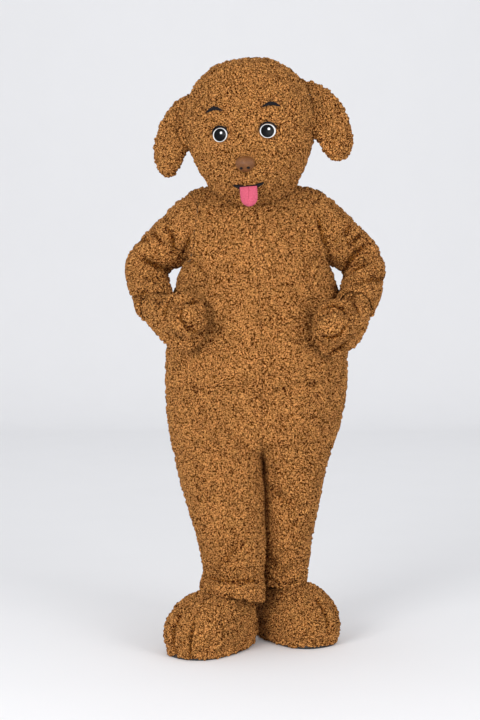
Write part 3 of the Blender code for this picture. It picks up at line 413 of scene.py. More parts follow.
@dataclass(frozen=True)
class Felt:
    """Pressed black wool felt."""

    dark: Colour = (0.003, 0.003, 0.004)
    light: Colour = (0.014, 0.013, 0.015)

    def material(self) -> bpy.types.Material:
        """Builds matted fibres."""
        graph = Graph("black_felt")
        place = graph.place()
        mat = graph.noise(place, 520.0, 5.0, 0.75)
        fibre = graph.noise(graph.scaled(place, (1.0, 4.0, 1.0)), 900.0, 3.0, 0.7)
        height = mat * 0.6 + fibre * 0.4
        return graph.finish(
            Base_Color=graph.ramp(height, [(0.35, self.dark), (0.70, self.light)]),
            Roughness=graph.spread(mat, 0.3, 0.7, (0.86, 0.97)),
            Normal=graph.bumped(height, 0.5, 0.0006),
            Specular_IOR_Level=0.15,
            Sheen_Weight=0.04,
            Sheen_Roughness=0.5,
        )


@dataclass(frozen=True)
class NoseLeather:
    """Brown grained leather, darker in its grain and worn paler in patches."""

    base: Colour = (0.190, 0.066, 0.012)
    dark: Colour = (0.090, 0.027, 0.005)
    worn: Colour = (0.255, 0.098, 0.022)

    def material(self) -> bpy.types.Material:
        """Builds pebbled grain with pores."""
        graph = Graph("nose_leather")
        place = graph.place()
        grain = graph.cells(place, 620.0, "DISTANCE_TO_EDGE")
        pores = graph.noise(place, 1500.0, 2.0, 0.5)
        wear = graph.noise(place, 60.0, 3.0, 0.5)
        pebble = graph.spread(grain, 0.0, 0.16)
        colour = graph.mixed(pebble, self.dark, self.base)
        colour = graph.mixed(graph.spread(wear, 0.50, 0.75, (0.0, 0.6)), colour, self.worn)
        return graph.finish(
            Base_Color=colour,
            Roughness=graph.spread(wear, 0.3, 0.7, (0.52, 0.38)),
            Normal=graph.bumped(pebble + pores * 0.2, 0.35, 0.0006),
            Specular_IOR_Level=0.45,
        )


@dataclass(frozen=True)
class PinkFleece:
    """Short pink fleece."""

    base: Colour = (0.500, 0.069, 0.120)
    deep_and_groove_shade: Colour = (0.300, 0.030, 0.056)
    tip: Colour = (0.620, 0.120, 0.184)
    groove_width: float = 0.0022
    groove_stop: float = 0.022

    def material(self) -> bpy.types.Material:
        """Builds short nap with soft clumps and a centre groove darkened as painted shade."""
        graph = Graph("pink_fleece")
        place = graph.place()
        clump = graph.noise(place, 260.0, 3.0, 0.6)
        nap = graph.noise(place, 1300.0, 3.0, 0.7)
        height = clump * 0.55 + nap * 0.45
        low, high = box_of("tongue")
        stop = low.z + self.groove_stop
        aside = (graph.axis(place, "X") - (low.x + high.x) / 2.0) / self.groove_width
        above = graph.spread(graph.axis(place, "Z"), stop - 0.006, stop + 0.004)
        groove = graph.spread(aside * aside, 0.0, 1.0, (1.0, 0.0)) * above
        colour = graph.ramp(height, [(0.30, self.deep_and_groove_shade), (0.48, self.base), (0.72, self.tip)])
        return graph.finish(
            # Painted shade: the centre groove is mixed towards the deep colour.
            Base_Color=graph.mixed(groove * 0.6, colour, self.deep_and_groove_shade),
            Roughness=graph.spread(clump, 0.3, 0.7, (0.80, 0.94)),
            Normal=graph.bumped(height - groove * 1.6, 0.45, 0.0007),
            Sheen_Weight=0.12,
            Sheen_Roughness=0.4,
            Sheen_Tint=(1.0, 0.70, 0.75),
        )


@dataclass(frozen=True)
class SoleRubber:
    """Black moulded rubber with scuffs and a ribbed tread."""

    base: Colour = (0.014, 0.014, 0.015)
    scuff: Colour = (0.070, 0.068, 0.066)
    rib: float = 60.0

    def material(self) -> bpy.types.Material:
        """Builds rubber with ribs across the foot and dusty scuffs."""
        graph = Graph("sole_rubber")
        place = graph.place()
        ribs = graph.node("ShaderNodeTexWave", {"bands_direction": "Y"}, {"Vector": place, "Scale": self.rib})
        dust = graph.noise(place, 45.0, 5.0, 0.65)
        grit = graph.noise(place, 900.0, 2.0, 0.6)
        return graph.finish(
            Base_Color=graph.mixed(graph.spread(dust, 0.52, 0.78, (0.0, 0.7)), self.base, self.scuff),
            Roughness=graph.spread(dust, 0.3, 0.7, (0.55, 0.82)),
            Normal=graph.bumped(graph.spread(ribs, 0.3, 0.7) * 0.8 + grit * 0.2, 0.5, 0.0012),
        )


@dataclass(frozen=True)
class Webbing:
    """Woven polyester tape or thread."""

    name: str
    light: Colour
    dark: Colour
    pick: float = 900.0

    def material(self) -> bpy.types.Material:
        """Builds a fine plain weave."""
        graph = Graph(self.name)
        place = graph.place()
        warp = graph.node("ShaderNodeTexWave", {"bands_direction": "X"}, {"Vector": place, "Scale": self.pick})
        weft = graph.node("ShaderNodeTexWave", {"bands_direction": "Z"}, {"Vector": place, "Scale": self.pick})
        weave = warp * weft
        return graph.finish(
            Base_Color=graph.ramp(weave, [(0.0, self.dark), (0.6, self.light)]),
            Roughness=graph.spread(weave, 0.0, 1.0, (0.78, 0.62)),
            Normal=graph.bumped(weave, 0.5, 0.0003),
        )


@dataclass(frozen=True)
class PaleStudio:
    """Matt pale paper for the floor and backdrop."""

    colour: Colour = (0.860, 0.860, 0.868)

    def material(self) -> bpy.types.Material:
        """Builds plain matt paper."""
        graph = Graph("studio_paper")
        fibre = graph.noise(graph.place(), 3.0, 2.0, 0.5)
        return graph.finish(
            Base_Color=graph.shaded(self.colour, 0.99 + fibre * 0.02),
            Roughness=0.9,
            Specular_IOR_Level=0.1,
        )


class Wardrobe:
    """Every finish of the costume, made once."""

    def __init__(self) -> None:
        """Builds the materials."""
        self.fur = TeddyFur().material()
        self.backing = Backing().material()
        self.white = EyeEnamel("eye_white", (0.80, 0.80, 0.79), (0.66, 0.67, 0.69)).material()
        self.black = EyeEnamel(
            "eye_black", (0.0015, 0.0015, 0.002), (0.004, 0.004, 0.005), 0.28, 0.0, 0.10
        ).material()
        self.felt = Felt().material()
        self.leather = NoseLeather().material()
        self.fleece = PinkFleece().material()
        self.rubber = SoleRubber().material()
        self.tape = Webbing("zip_tape", (0.150, 0.080, 0.035), (0.060, 0.030, 0.012)).material()
        self.coil = EyeEnamel("zip_coil", (0.120, 0.062, 0.028), (0.080, 0.040, 0.018), 0.32).material()


# ------------------------------------------------------------------------------ piece helpers


def merged_copy(node: str) -> bmesh.types.BMesh:
    """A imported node's mesh with its loose triangles merged and paired into quads.

    Args:
        node: the node's name.

    Returns:
        A new bmesh in the row frame.
    """
    shape = bmesh.new()
    shape.from_mesh(frame["nodes"][node].data)
    bmesh.ops.remove_doubles(shape, verts=shape.verts, dist=MERGE)
    limit = math.radians(40.0)
    bmesh.ops.join_triangles(
        shape, faces=shape.faces, angle_face_threshold=limit, angle_shape_threshold=math.radians(80.0)
    )
    shape.normal_update()
    return shape


def place_piece(name: str, shape: bmesh.types.BMesh, finishes: Sequence[bpy.types.Material]) -> bpy.types.Object:
    """Turns a bmesh into a piece that rides with the costume.

    Args:
        name: the piece's name.
        shape: its mesh, which is freed.
        finishes: its materials, in slot order.

    Returns:
        The new object.
    """
    mesh = bpy.data.meshes.new(name)
    shape.to_mesh(mesh)
    shape.free()
    for finish in finishes:
        mesh.materials.append(finish)
    piece = bpy.data.objects.new(name, mesh)
    bpy.context.scene.collection.objects.link(piece)
    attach(piece, BODY)
    return piece


def tree_of(nodes: Iterable[str]) -> BVHTree:
    """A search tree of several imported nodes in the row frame."""
    points: list[Vector] = []
    faces: list[tuple[int, ...]] = []
    for node in nodes:
        first = len(points)
        mesh = frame["nodes"][node].data
        points.extend(vert.co.copy() for vert in mesh.vertices)
        faces.extend(tuple(index + first for index in face.vertices) for face in mesh.polygons)
    return BVHTree.FromPolygons(points, faces)


def smooth_step(value: np.ndarray, low: float, high: float) -> np.ndarray:
    """0 below `low`, 1 above `high` and a smooth rise between."""
    share = np.clip((value - low) / (high - low), 0.0, 1.0)
    return share * share * (3.0 - 2.0 * share)


# ------------------------------------------------------------------------------ fur cloth


class Face(Enum):
    """The side of the costume on which a crease lies; a round one goes all the way about."""

    FRONT = -1.0
    BACK = 1.0
    ROUND = 0.0


@dataclass(frozen=True)
class Crease:
    """A soft trough, or a ridge where `depth` is below zero, drawn in the front or back elevation.

    `start` and `end` are (x, height) places, and `bow` is how far its middle stands off the chord.
    """

    face: Face
    start: tuple[float, float]
    end: tuple[float, float]
    depth: float
    width: float
    bow: float = 0.0

    def sink(self, points: np.ndarray, normals: np.ndarray, wider: float = 1.0) -> np.ndarray:
        """How far each point sinks.

        Args:
            points: places in the row frame, a row each.
            normals: the surface's normals there.
            wider: how many times its own width the crease reaches.

        Returns:
            Depths in metres, below zero where the cloth rises.
        """
        start = np.array((self.start[0], self.start[1] + FLOOR))
        chord = np.array((self.end[0], self.end[1] + FLOOR)) - start
        length = float(np.hypot(*chord))
        side = np.array((-chord[1], chord[0])) / length
        flat = points[:, (0, 2)] - start
        along = np.clip(flat @ chord / length**2, 0.0, 1.0)
        line = along[:, None] * chord + (self.bow * 4.0 * along * (1.0 - along))[:, None] * side
        away = np.linalg.norm(flat - line, axis=1)
        facing = 1.0
        if self.face is not Face.ROUND:
            facing = np.clip(normals[:, 1] * self.face.value * 1.8, 0.0, 1.0)
        taper = 0.45 + 0.55 * np.sin(np.pi * along)
        return self.depth * np.exp(-((away / (self.width * wider)) ** 2)) * facing * taper


@dataclass(frozen=True)
class Pile:
    """The curls of the fur: their size and how far they stand off the cloth, in metres."""

    curl: float = 0.0066
    wobble: float = 0.0036
    wobble_size: float = 0.010
    low: float = -0.0016
    high: float = 0.0048
    uneven: float = 1.0
    clump: float = 0.0015
    clump_size: float = 0.019
    swell: float = 0.0018
    swell_size: float = 0.055
    reach: float = 0.018
    meet_from: float = 0.009
    meet: float = 0.46
    seam_dip: float = 0.0
    seam_width: float = 0.005


class Side(Enum):
    """What a face of a fur panel is, which is also its material slot."""

    FUR = 0
    BACKING = 1
    SEAM = 2


@dataclass
class FurCloth:
    """One panel of fur cloth: its packed wall with a fine, curly outer side."""

    node: str
    pile: Pile = field(default_factory=Pile)
    edge_angle: float = 50.0
    grain: float = 0.0029
    creases: tuple[Crease, ...] = ()
    features: tuple[str, ...] = ()
    both_sides: bool = False
    skirt: float = 0.0

    RIM_REACH = 0.003
    FEATURE_NEAR = 0.0015
    FEATURE_FAR = 0.0090
    FEATURE_LOW = -0.0016
    SKIRT_HEIGHT = 0.016
    SKIRT_FLARE = 0.5
    BACKING_WIDTH = 2.5
    # The next three set the painted shade that darkens the fur in creases and seam dips.
    SHADED_AT = 0.008
    SHADE = 0.85
    CREASE_SHADE = 1.1

    def build(self, wardrobe: Wardrobe) -> bpy.types.Object:
        """Makes the piece.

        Args:
            wardrobe: the finishes.

        Returns:
            The fur piece, which stands for its node.
        """
        shape = merged_copy(self.node)
        self._mark_sides(shape)
        self._refine(shape)
        area = self._raise_pile(shape)
        return self._finish(shape, wardrobe, area)

    def _mark_sides(self, shape: bmesh.types.BMesh) -> None:
        """Sorts the faces into fur, backing and the edges that lie against a neighbour."""
        limit = math.radians(self.edge_angle)
        regions: list[list[bmesh.types.BMFace]] = []
        seen: set[bmesh.types.BMFace] = set()
        for seed in shape.faces:
            if seed in seen:
                continue
            seen.add(seed)
            region = [seed]
            for face in region:
                for edge in face.edges:
                    if edge.calc_face_angle(0.0) > limit:
                        continue
                    for other in edge.link_faces:
                        if other not in seen:
                            seen.add(other)
                            region.append(other)
            regions.append(region)
        regions.sort(key=lambda region: sum(face.calc_area() for face in region), reverse=True)
        neighbours = tree_of(name for name in FUR_NODES if name != self.node)
        for rank, region in enumerate(regions):
            for face in region:
                face.smooth = True
                if self.both_sides or rank == 0:
                    face.material_index = Side.FUR.value
                elif rank == 1:
                    face.material_index = Side.BACKING.value
                else:
                    near = neighbours.find_nearest(face.calc_center_median(), self.RIM_REACH)[0]
                    face.material_index = (Side.FUR if near is None else Side.SEAM).value

    def _refine(self, shape: bmesh.types.BMesh) -> None:
        """Divides the fur side down to the grain of the curls, rounding it at each step."""
        edges = {edge for face in shape.faces if face.material_index == 0 for edge in face.edges}
        mean = sum(edge.calc_length() for edge in edges) / len(edges)
        parts = max(1, round(mean / self.grain))
        steps = []
        while parts >= 6:
            steps.append(2)
            parts = math.ceil(parts / 2)
        steps.append(parts)
        for step in steps:
            edges = {edge for face in shape.faces if face.material_index == 0 for edge in face.edges}
            bmesh.ops.subdivide_edges(
                shape, edges=list(edges), cuts=step - 1, use_grid_fill=True, use_single_edge=True
            )
            inside = [
                vert for vert in shape.verts if all(face.material_index == 0 for face in vert.link_faces)
            ]
            bmesh.ops.smooth_vert(
                shape, verts=inside, factor=0.5, use_axis_x=True, use_axis_y=True, use_axis_z=True
            )
        bmesh.ops.triangulate(shape, faces=[face for face in shape.faces if len(face.verts) > 4])

    def _raise_pile(self, shape: bmesh.types.BMesh) -> float:
        """Moves the fur side's points out into curls and the whole cloth down into creases, and darkens the stored pile
        level there as painted shade.

        Args:
            shape: the divided mesh.

        Returns:
            The flat area of the fur side before its curls, in square metres.
        """
        shape.verts.index_update()
        mesh = bpy.data.meshes.new("work")
        shape.to_mesh(mesh)
        points, normals, furry, area = side_arrays(mesh, Side.FUR)
        _, inward, backed, _ = side_arrays(mesh, Side.BACKING)
        bpy.data.meshes.remove(mesh)
        backed &= ~furry
        level, tone = self._curls(points[furry])
        sunk = np.zeros(len(level))
        for crease in self.creases:
            sunk += crease.sink(points[furry], normals[furry])
        tall = level * (1.0 + self.pile.uneven * (tone - 0.5))
        rise, dipped = self._rise(points[furry], normals[furry], tall, sunk)
        # Painted shade: the pile level, which sets the fur's colour, is darkened in the creases and along the seam
        # dips.
        shade = np.clip((sunk + dipped) / self.SHADED_AT, 0.0, 1.0)
        level -= shade * (level * self.SHADE + self.CREASE_SHADE)
        moved = points.copy()
        moved[furry] += normals[furry] * rise[:, None]
        for crease in self.creases:
            sunk = crease.sink(points[backed], -inward[backed], self.BACKING_WIDTH)
            moved[backed] += inward[backed] * sunk[:, None]
        if self.skirt:
            moved[furry] += self._hang(points[furry], normals[furry])
        # The stored pile value holds the curl level with its painted crease shade; the fur finish reads it as colour.
        pile_and_shade_values, tone_values = np.full(len(points), 0.45), np.full(len(points), 0.5)
        pile_and_shade_values[furry], tone_values[furry] = level, tone
        pile_layer = shape.verts.layers.float.new("pile")
        tone_layer = shape.verts.layers.float.new("tone")
        for vert, place, level_here, tone_here in zip(shape.verts, moved, pile_and_shade_values, tone_values):
            vert.co = place
            vert[pile_layer] = level_here
            vert[tone_layer] = tone_here
        return area

    def _rise(
        self, points: np.ndarray, normals: np.ndarray, level: np.ndarray, sunk: np.ndarray
    ) -> tuple[np.ndarray, np.ndarray]:
        """How far each fur point moves out, below zero where it sinks.

        Args:
            points: the fur side's places.
            normals: its outward directions.
            level: the pile's level at each.
            sunk: how far the creases take it in.

        Returns:
            Distances in metres, and how much of them is the dip along the seams.
        """
        pile = self.pile
        room, beside = self._room(points, normals)
        rise = pile.low + level * (pile.high - pile.low)
        rise += wander(points, pile.clump_size) * pile.clump + wander(points, pile.swell_size) * pile.swell
        dipped = pile.seam_dip * np.exp(-((beside / pile.seam_width) ** 2))
        rise -= sunk + dipped
        meeting = 1.0 - smooth_step(room, pile.meet_from, pile.reach * 0.95)
        rise += meeting * np.maximum(0.0, room * pile.meet - rise)
        return np.minimum(rise, room * pile.meet), dipped

    def _hang(self, points: np.ndarray, normals: np.ndarray) -> np.ndarray:
        """The drop and flare of the fur that hangs over the edge below it."""
        height = points[:, 2] - points[:, 2].min()
        share = 1.0 - smooth_step(height, 0.0, self.SKIRT_HEIGHT)
        out = normals.copy()
        out[:, 2] = 0.0
        out /= np.maximum(np.linalg.norm(out, axis=1), 0.2)[:, None]
        down = np.array((0.0, 0.0, -1.0))
        return share[:, None] * self.skirt * (down + out * self.SKIRT_FLARE)

    def _curls(self, points: np.ndarray) -> tuple[np.ndarray, np.ndarray]:
        """The pile's level, 0 between locks and 1 on a crest, and each lock's own tone."""
        pile = self.pile
        dice = np.random.default_rng(sum(self.node.encode()))
        roots = scattered(points, pile.curl, dice)
        locks = Locks(roots, pile.curl * 2.0)
        shades = dice.random(len(roots))
        levels = np.empty(len(points))
        tones = np.empty(len(points))
        for index, place in enumerate(points):
            here = Vector(place)
            bent = here + noise.noise_vector(here / pile.wobble_size) * pile.wobble
            root, near, far = locks.around(bent)
            dome = max(0.0, 1.0 - (near / (pile.curl * 0.80)) ** 2)
            levels[index] = 0.55 * dome + 0.45 * min(1.0, (far - near) / (pile.curl * 0.50))
            tones[index] = shades[root]
        return levels, tones

    def _room(self, points: np.ndarray, normals: np.ndarray) -> tuple[np.ndarray, np.ndarray]:
        """How far each point may rise before it meets another piece, and how near a neighbour's edge is."""
        others = tree_of(name for name in FUR_NODES if name != self.node)
        reach = self.pile.reach
        room = np.full(len(points), reach)
        beside = np.full(len(points), reach)
        for index, (place, normal) in enumerate(zip(points, normals)):
            away = others.ray_cast(Vector(place + normal * 0.0001), Vector(normal), reach)[3]
            if away is not None:
                room[index] = away
            if self.pile.seam_dip:
                beside[index] = others.find_nearest(Vector(place), reach)[3] or reach
        if self.features:
            tree = tree_of(self.features)
            near = np.array([tree.find_nearest(Vector(place), 0.05)[3] or 0.05 for place in points])
            share = smooth_step(near, self.FEATURE_NEAR, self.FEATURE_FAR)
            room = np.minimum(room, self.FEATURE_LOW + share * (reach - self.FEATURE_LOW))
        return room, beside

    def _finish(self, shape: bmesh.types.BMesh, wardrobe: Wardrobe, area: float) -> bpy.types.Object:
        """Makes the object with its seam edges furred, hides its node and stores its flat area."""
        for face in shape.faces:
            if face.material_index == Side.SEAM.value:
                face.material_index = Side.FUR.value
        faces = len(shape.faces)
        piece = place_piece(f"fur_{self.node}", shape, (wardrobe.fur, wardrobe.backing))
        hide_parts(self.node)
        piece["flat_area"] = area
        log.info("fur %s: %d faces, %.3f m2", self.node, faces, area)
        return piece


def side_arrays(mesh: bpy.types.Mesh, side: Side) -> tuple[np.ndarray, np.ndarray, np.ndarray, float]:
    """One side of a panel as arrays.

    Args:
        mesh: the panel, its faces marked with their sides.
        side: the side that is wanted.

    Returns:
        Every point, the side's normals at them, the mask of its points, and its area.
    """
    mesh.calc_loop_triangles()
    points = np.empty(len(mesh.vertices) * 3)
    mesh.vertices.foreach_get("co", points)
    points = points.reshape(-1, 3)
    corners = np.empty(len(mesh.loop_triangles) * 3, np.int32)
    mesh.loop_triangles.foreach_get("vertices", corners)
    corners = corners.reshape(-1, 3)
    kinds = np.empty(len(mesh.loop_triangles), np.int32)
    mesh.loop_triangles.foreach_get("material_index", kinds)
    corners = corners[kinds == side.value]
    first, second, third = (points[corners[:, index]] for index in range(3))
    across = np.cross(second - first, third - first)
    normals = np.zeros_like(points)
    for index in range(3):
        np.add.at(normals, corners[:, index], across)
    sizes = np.linalg.norm(normals, axis=1)
    mask = sizes > 0.0
    normals[mask] /= sizes[mask, None]
    return points, normals, mask, float(np.linalg.norm(across, axis=1).sum() / 2.0)


def tree_of_places(places: Sequence[Vector]) -> KDTree:
    """A nearest-place search tree."""
    tree = KDTree(len(places))
    for index, place in enumerate(places):
        tree.insert(place, index)
    tree.balance()
    return tree


def scattered(points: np.ndarray, apart: float, dice: np.random.Generator) -> list[Vector]:
    """Picks points that lie evenly over a surface, none nearer than `apart` to another.

    Args:
        points: the surface's places.
        apart: the least distance between two picks.
        dice: the seeded source of their order.

    Returns:
        The picks.
    """
    order = dice.permutation(len(points))
    cells = np.floor(points[order] / (apart * 0.7)).astype(np.int64)
    first = np.unique(cells, axis=0, return_index=True)[1]
    places = [Vector(point) for point in points[order[np.sort(first)]]]
    tree = tree_of_places(places)
    barred = bytearray(len(places))
    kept: list[Vector] = []
    for index, place in enumerate(places):
        if barred[index]:
            continue
        kept.append(place)
        for _, other, _ in tree.find_range(place, apart):
            barred[other] = 1
    return kept


class Locks:
    """Locks of fur: the roots of curls, most of them joined in pairs into short worms."""

    def __init__(self, roots: Sequence[Vector], reach: float) -> None:
        """Pairs each root with its nearest free neighbour within reach."""
        self.roots = roots
        self.tree = tree_of_places(roots)
        self.partner = list(range(len(roots)))
        for index, place in enumerate(roots):
            if self.partner[index] != index:
                continue
            for _, other, away in self.tree.find_n(place, 6):
                if other != index and self.partner[other] == other and away < reach:
                    self.partner[index], self.partner[other] = other, index
                    break

    def around(self, place: Vector) -> tuple[int, float, float]:
        """The lock at a place.

        Args:
            place: a point by the surface.

        Returns:
            The lock's first root, the distance to its spine, and the distance to the next lock.
        """
        found = self.tree.find_n(place, 4)
        root = found[0][1]
        mate = self.partner[root]
        start, end = self.roots[root], self.roots[mate]
        chord = end - start
        along = min(0.5, max(0.0, (place - start).dot(chord) / max(chord.length_squared, 1e-12)))
        near = (place - start - chord * along).length
        far = next((away for _, other, away in found[1:] if other != mate), found[-1][2])
        return min(root, mate), near, far


def wander(points: np.ndarray, size: float) -> np.ndarray:
    """Smooth unevenness from about -1 to 1, with hills of this size in metres."""
    return np.array([noise.noise(Vector(place) / size) for place in points])


EAR_PILE = Pile(reach=0.030, meet_from=0.016)
MITT_PILE = Pile(seam_dip=0.0035)
FUR_NODES = tuple(
    sorted(
        name
        for name in frame["nodes"]
        if name.startswith(("front_", "back_l", "back_r", "sleeve_", "head_", "ear_", "mitt_", "shoe_f", "shoe_h"))
    )
)
FACE_NODES = tuple(
    sorted(
        name
        for name in frame["nodes"]
        if name.startswith(("eye_", "lid_", "brow_", "nose", "mouth", "tongue"))
    )
)


# ------------------------------------------------------------------------------ folds

SLEEVE_FOLDS = (
    Crease(Face.FRONT, (-0.280, 1.327), (-0.258, 1.249), 0.0115, 0.0080, 0.005),
    Crease(Face.FRONT, (-0.209, 1.310), (-0.237, 1.234), 0.0081, 0.0070, 0.008),
    Crease(Face.FRONT, (-0.286, 1.187), (-0.368, 1.237), 0.0108, 0.0090, 0.003),
    Crease(Face.FRONT, (-0.294, 1.167), (-0.359, 1.170), 0.0061, 0.0080, 0.011),
    Crease(Face.FRONT, (-0.375, 1.271), (-0.329, 1.228), -0.0068, 0.0130, -0.004),
    Crease(Face.FRONT, (-0.336, 1.322), (-0.296, 1.268), 0.0081, 0.0070, 0.001),
    Crease(Face.FRONT, (-0.369, 1.101), (-0.308, 1.095), 0.0054, 0.0070, -0.013),
    Crease(Face.FRONT, (0.194, 1.347), (0.222, 1.255), 0.0121, 0.0080, -0.001),
    Crease(Face.FRONT, (0.285, 1.190), (0.347, 1.266), 0.0135, 0.0090, 0.009),
    Crease(Face.FRONT, (0.293, 1.174), (0.369, 1.215), 0.0068, 0.0070, 0.005),
    Crease(Face.FRONT, (0.340, 1.310), (0.302, 1.268), 0.0095, 0.0070, -0.001),
    Crease(Face.FRONT, (0.362, 1.286), (0.390, 1.231), -0.0068, 0.0120, 0.007),
    Crease(Face.FRONT, (0.301, 1.145), (0.381, 1.174), 0.0061, 0.0080, -0.007),
    Crease(Face.FRONT, (0.328, 1.095), (0.365, 1.095), 0.0041, 0.0070, -0.009),
    Crease(Face.BACK, (-0.262, 1.204), (-0.352, 1.245), 0.0101, 0.0095, -0.006),
    Crease(Face.BACK, (-0.282, 1.176), (-0.372, 1.196), 0.0068, 0.0080, 0.005),
    Crease(Face.BACK, (-0.268, 1.318), (-0.232, 1.262), 0.0081, 0.0085, 0.007),
    Crease(Face.BACK, (-0.306, 1.142), (-0.372, 1.128), 0.0054, 0.0080, 0.004),
    Crease(Face.BACK, (0.258, 1.198), (0.345, 1.252), 0.0115, 0.0090, 0.008),
    Crease(Face.BACK, (0.291, 1.165), (0.374, 1.188), 0.0068, 0.0085, -0.004),
    Crease(Face.BACK, (0.252, 1.327), (0.226, 1.268), 0.0088, 0.0080, -0.006),
    Crease(Face.ROUND, (-0.397, 1.276), (-0.330, 1.288), 0.0085, 0.0085),
    Crease(Face.ROUND, (-0.407, 1.241), (-0.404, 1.133), -0.0050, 0.0160),
    Crease(Face.ROUND, (-0.381, 1.107), (-0.337, 1.120), 0.0085, 0.0085),
    Crease(Face.ROUND, (-0.375, 1.075), (-0.343, 1.031), -0.0055, 0.0110),
    Crease(Face.ROUND, (-0.295, 1.367), (-0.267, 1.342), 0.0050, 0.0100),
    Crease(Face.ROUND, (0.301, 1.336), (0.278, 1.298), 0.0085, 0.0085),
    Crease(Face.ROUND, (0.345, 1.317), (0.390, 1.285), -0.0050, 0.0130),
    Crease(Face.ROUND, (0.415, 1.241), (0.371, 1.234), 0.0050, 0.0090),
    Crease(Face.ROUND, (0.409, 1.161), (0.364, 1.155), 0.0080, 0.0085),
    Crease(Face.ROUND, (0.390, 1.126), (0.383, 1.082), -0.0045, 0.0120),
    Crease(Face.ROUND, (0.269, 1.374), (0.237, 1.393), 0.0045, 0.0100),
)
MITT_FOLDS = (
    Crease(Face.FRONT, (-0.221, 1.074), (-0.206, 1.011), 0.0127, 0.0056, -0.015),
    Crease(Face.FRONT, (-0.206, 1.011), (-0.155, 0.999), 0.0127, 0.0056, -0.007),
    Crease(Face.FRONT, (-0.225, 1.077), (-0.164, 1.101), 0.0108, 0.0056, -0.004),
    Crease(Face.FRONT, (-0.265, 1.120), (-0.307, 1.067), 0.0078, 0.0075, -0.005),
    Crease(Face.FRONT, (-0.260, 1.095), (-0.268, 1.028), 0.0069, 0.0088, -0.010),
    Crease(Face.FRONT, (0.197, 0.986), (0.269, 1.017), 0.0137, 0.0056, -0.018),
    Crease(Face.FRONT, (0.223, 0.932), (0.285, 0.982), 0.0127, 0.0056, -0.008),
    Crease(Face.FRONT, (0.196, 1.064), (0.277, 1.046), 0.0108, 0.0056, 0.021),
    Crease(Face.FRONT, (0.269, 1.107), (0.316, 1.046), 0.0088, 0.0075, 0.009),
)
BODY_FOLDS = (
    Crease(Face.FRONT, (-0.207, 1.220), (-0.155, 1.169), 0.0039, 0.0090, 0.007),
    Crease(Face.FRONT, (0.210, 1.248), (0.155, 1.194), 0.0039, 0.0090, 0.003),
    Crease(Face.FRONT, (0.004, 0.606), (-0.072, 0.662), 0.0024, 0.0110, -0.011),
    Crease(Face.FRONT, (0.010, 0.605), (0.093, 0.651), 0.0030, 0.0110, 0.010),
    Crease(Face.FRONT, (-0.134, 0.235), (-0.031, 0.361), 0.0046, 0.0140, 0.006),
    Crease(Face.FRONT, (-0.184, 0.619), (-0.165, 0.468), 0.0022, 0.0140, -0.004),
    Crease(Face.FRONT, (0.031, 0.509), (0.115, 0.437), 0.0056, 0.0150, 0.005),
    Crease(Face.FRONT, (0.034, 0.292), (0.093, 0.225), 0.0048, 0.0130, -0.004),
    Crease(Face.FRONT, (-0.165, 0.231), (0.006, 0.230), 0.0065, 0.0080, -0.005),
    Crease(Face.FRONT, (-0.166, 0.208), (-0.031, 0.192), -0.0046, 0.0090, -0.008),
    Crease(Face.FRONT, (-0.050, 0.205), (0.016, 0.189), 0.0065, 0.0045, 0.025),
    Crease(Face.FRONT, (0.037, 0.209), (0.156, 0.215), 0.0059, 0.0080, -0.022),
    Crease(Face.FRONT, (0.049, 0.186), (0.143, 0.190), -0.0046, 0.0090, -0.010),
    Crease(Face.FRONT, (-0.093, 0.834), (0.110, 0.824), 0.0026, 0.0140, -0.016),
    Crease(Face.FRONT, (-0.221, 0.846), (-0.130, 0.818), 0.0033, 0.0110, -0.011),
    Crease(Face.FRONT, (0.231, 0.870), (0.145, 0.829), 0.0033, 0.0110, 0.010),
    Crease(Face.BACK, (-0.128, 1.022), (0.104, 1.036), 0.0059, 0.0140, -0.012),
    Crease(Face.BACK, (-0.086, 0.968), (0.142, 0.957), 0.0046, 0.0130, 0.009),
    Crease(Face.BACK, (-0.196, 1.240), (-0.121, 1.182), 0.0052, 0.0100, 0.008),
    Crease(Face.BACK, (0.190, 1.252), (0.126, 1.176), 0.0059, 0.0100, -0.007),
    Crease(Face.BACK, (-0.148, 0.634), (-0.026, 0.606), 0.0072, 0.0110, -0.012),
    Crease(Face.BACK, (0.024, 0.604), (0.132, 0.626), 0.0072, 0.0110, -0.010),
    Crease(Face.BACK, (-0.158, 0.432), (-0.048, 0.418), 0.0065, 0.0100, 0.007),
    Crease(Face.BACK, (-0.150, 0.385), (-0.066, 0.372), 0.0046, 0.0090, -0.005),
    Crease(Face.BACK, (0.046, 0.428), (0.148, 0.444), 0.0059, 0.0100, -0.008),
    Crease(Face.BACK, (0.058, 0.371), (0.136, 0.377), 0.0052, 0.0090, 0.006),
    Crease(Face.BACK, (-0.156, 0.240), (-0.030, 0.228), 0.0065, 0.0080, 0.006),
    Crease(Face.BACK, (0.036, 0.233), (0.152, 0.246), 0.0059, 0.0085, -0.006),
)
TOE_GROOVES = (
    Crease(Face.FRONT, (-0.231, 0.131), (-0.242, 0.008), 0.0078, 0.0055, -0.017),
    Crease(Face.FRONT, (-0.187, 0.132), (-0.199, 0.002), 0.0091, 0.0050, -0.006),
    Crease(Face.FRONT, (-0.105, 0.122), (-0.099, 0.039), 0.0046, 0.0060, 0.001),
    Crease(Face.FRONT, (0.182, 0.152), (0.224, 0.038), 0.0091, 0.0050, 0.017),
    Crease(Face.FRONT, (0.205, 0.157), (0.247, 0.048), 0.0078, 0.0045, 0.022),
)


# ------------------------------------------------------------------------------ sub-assemblies


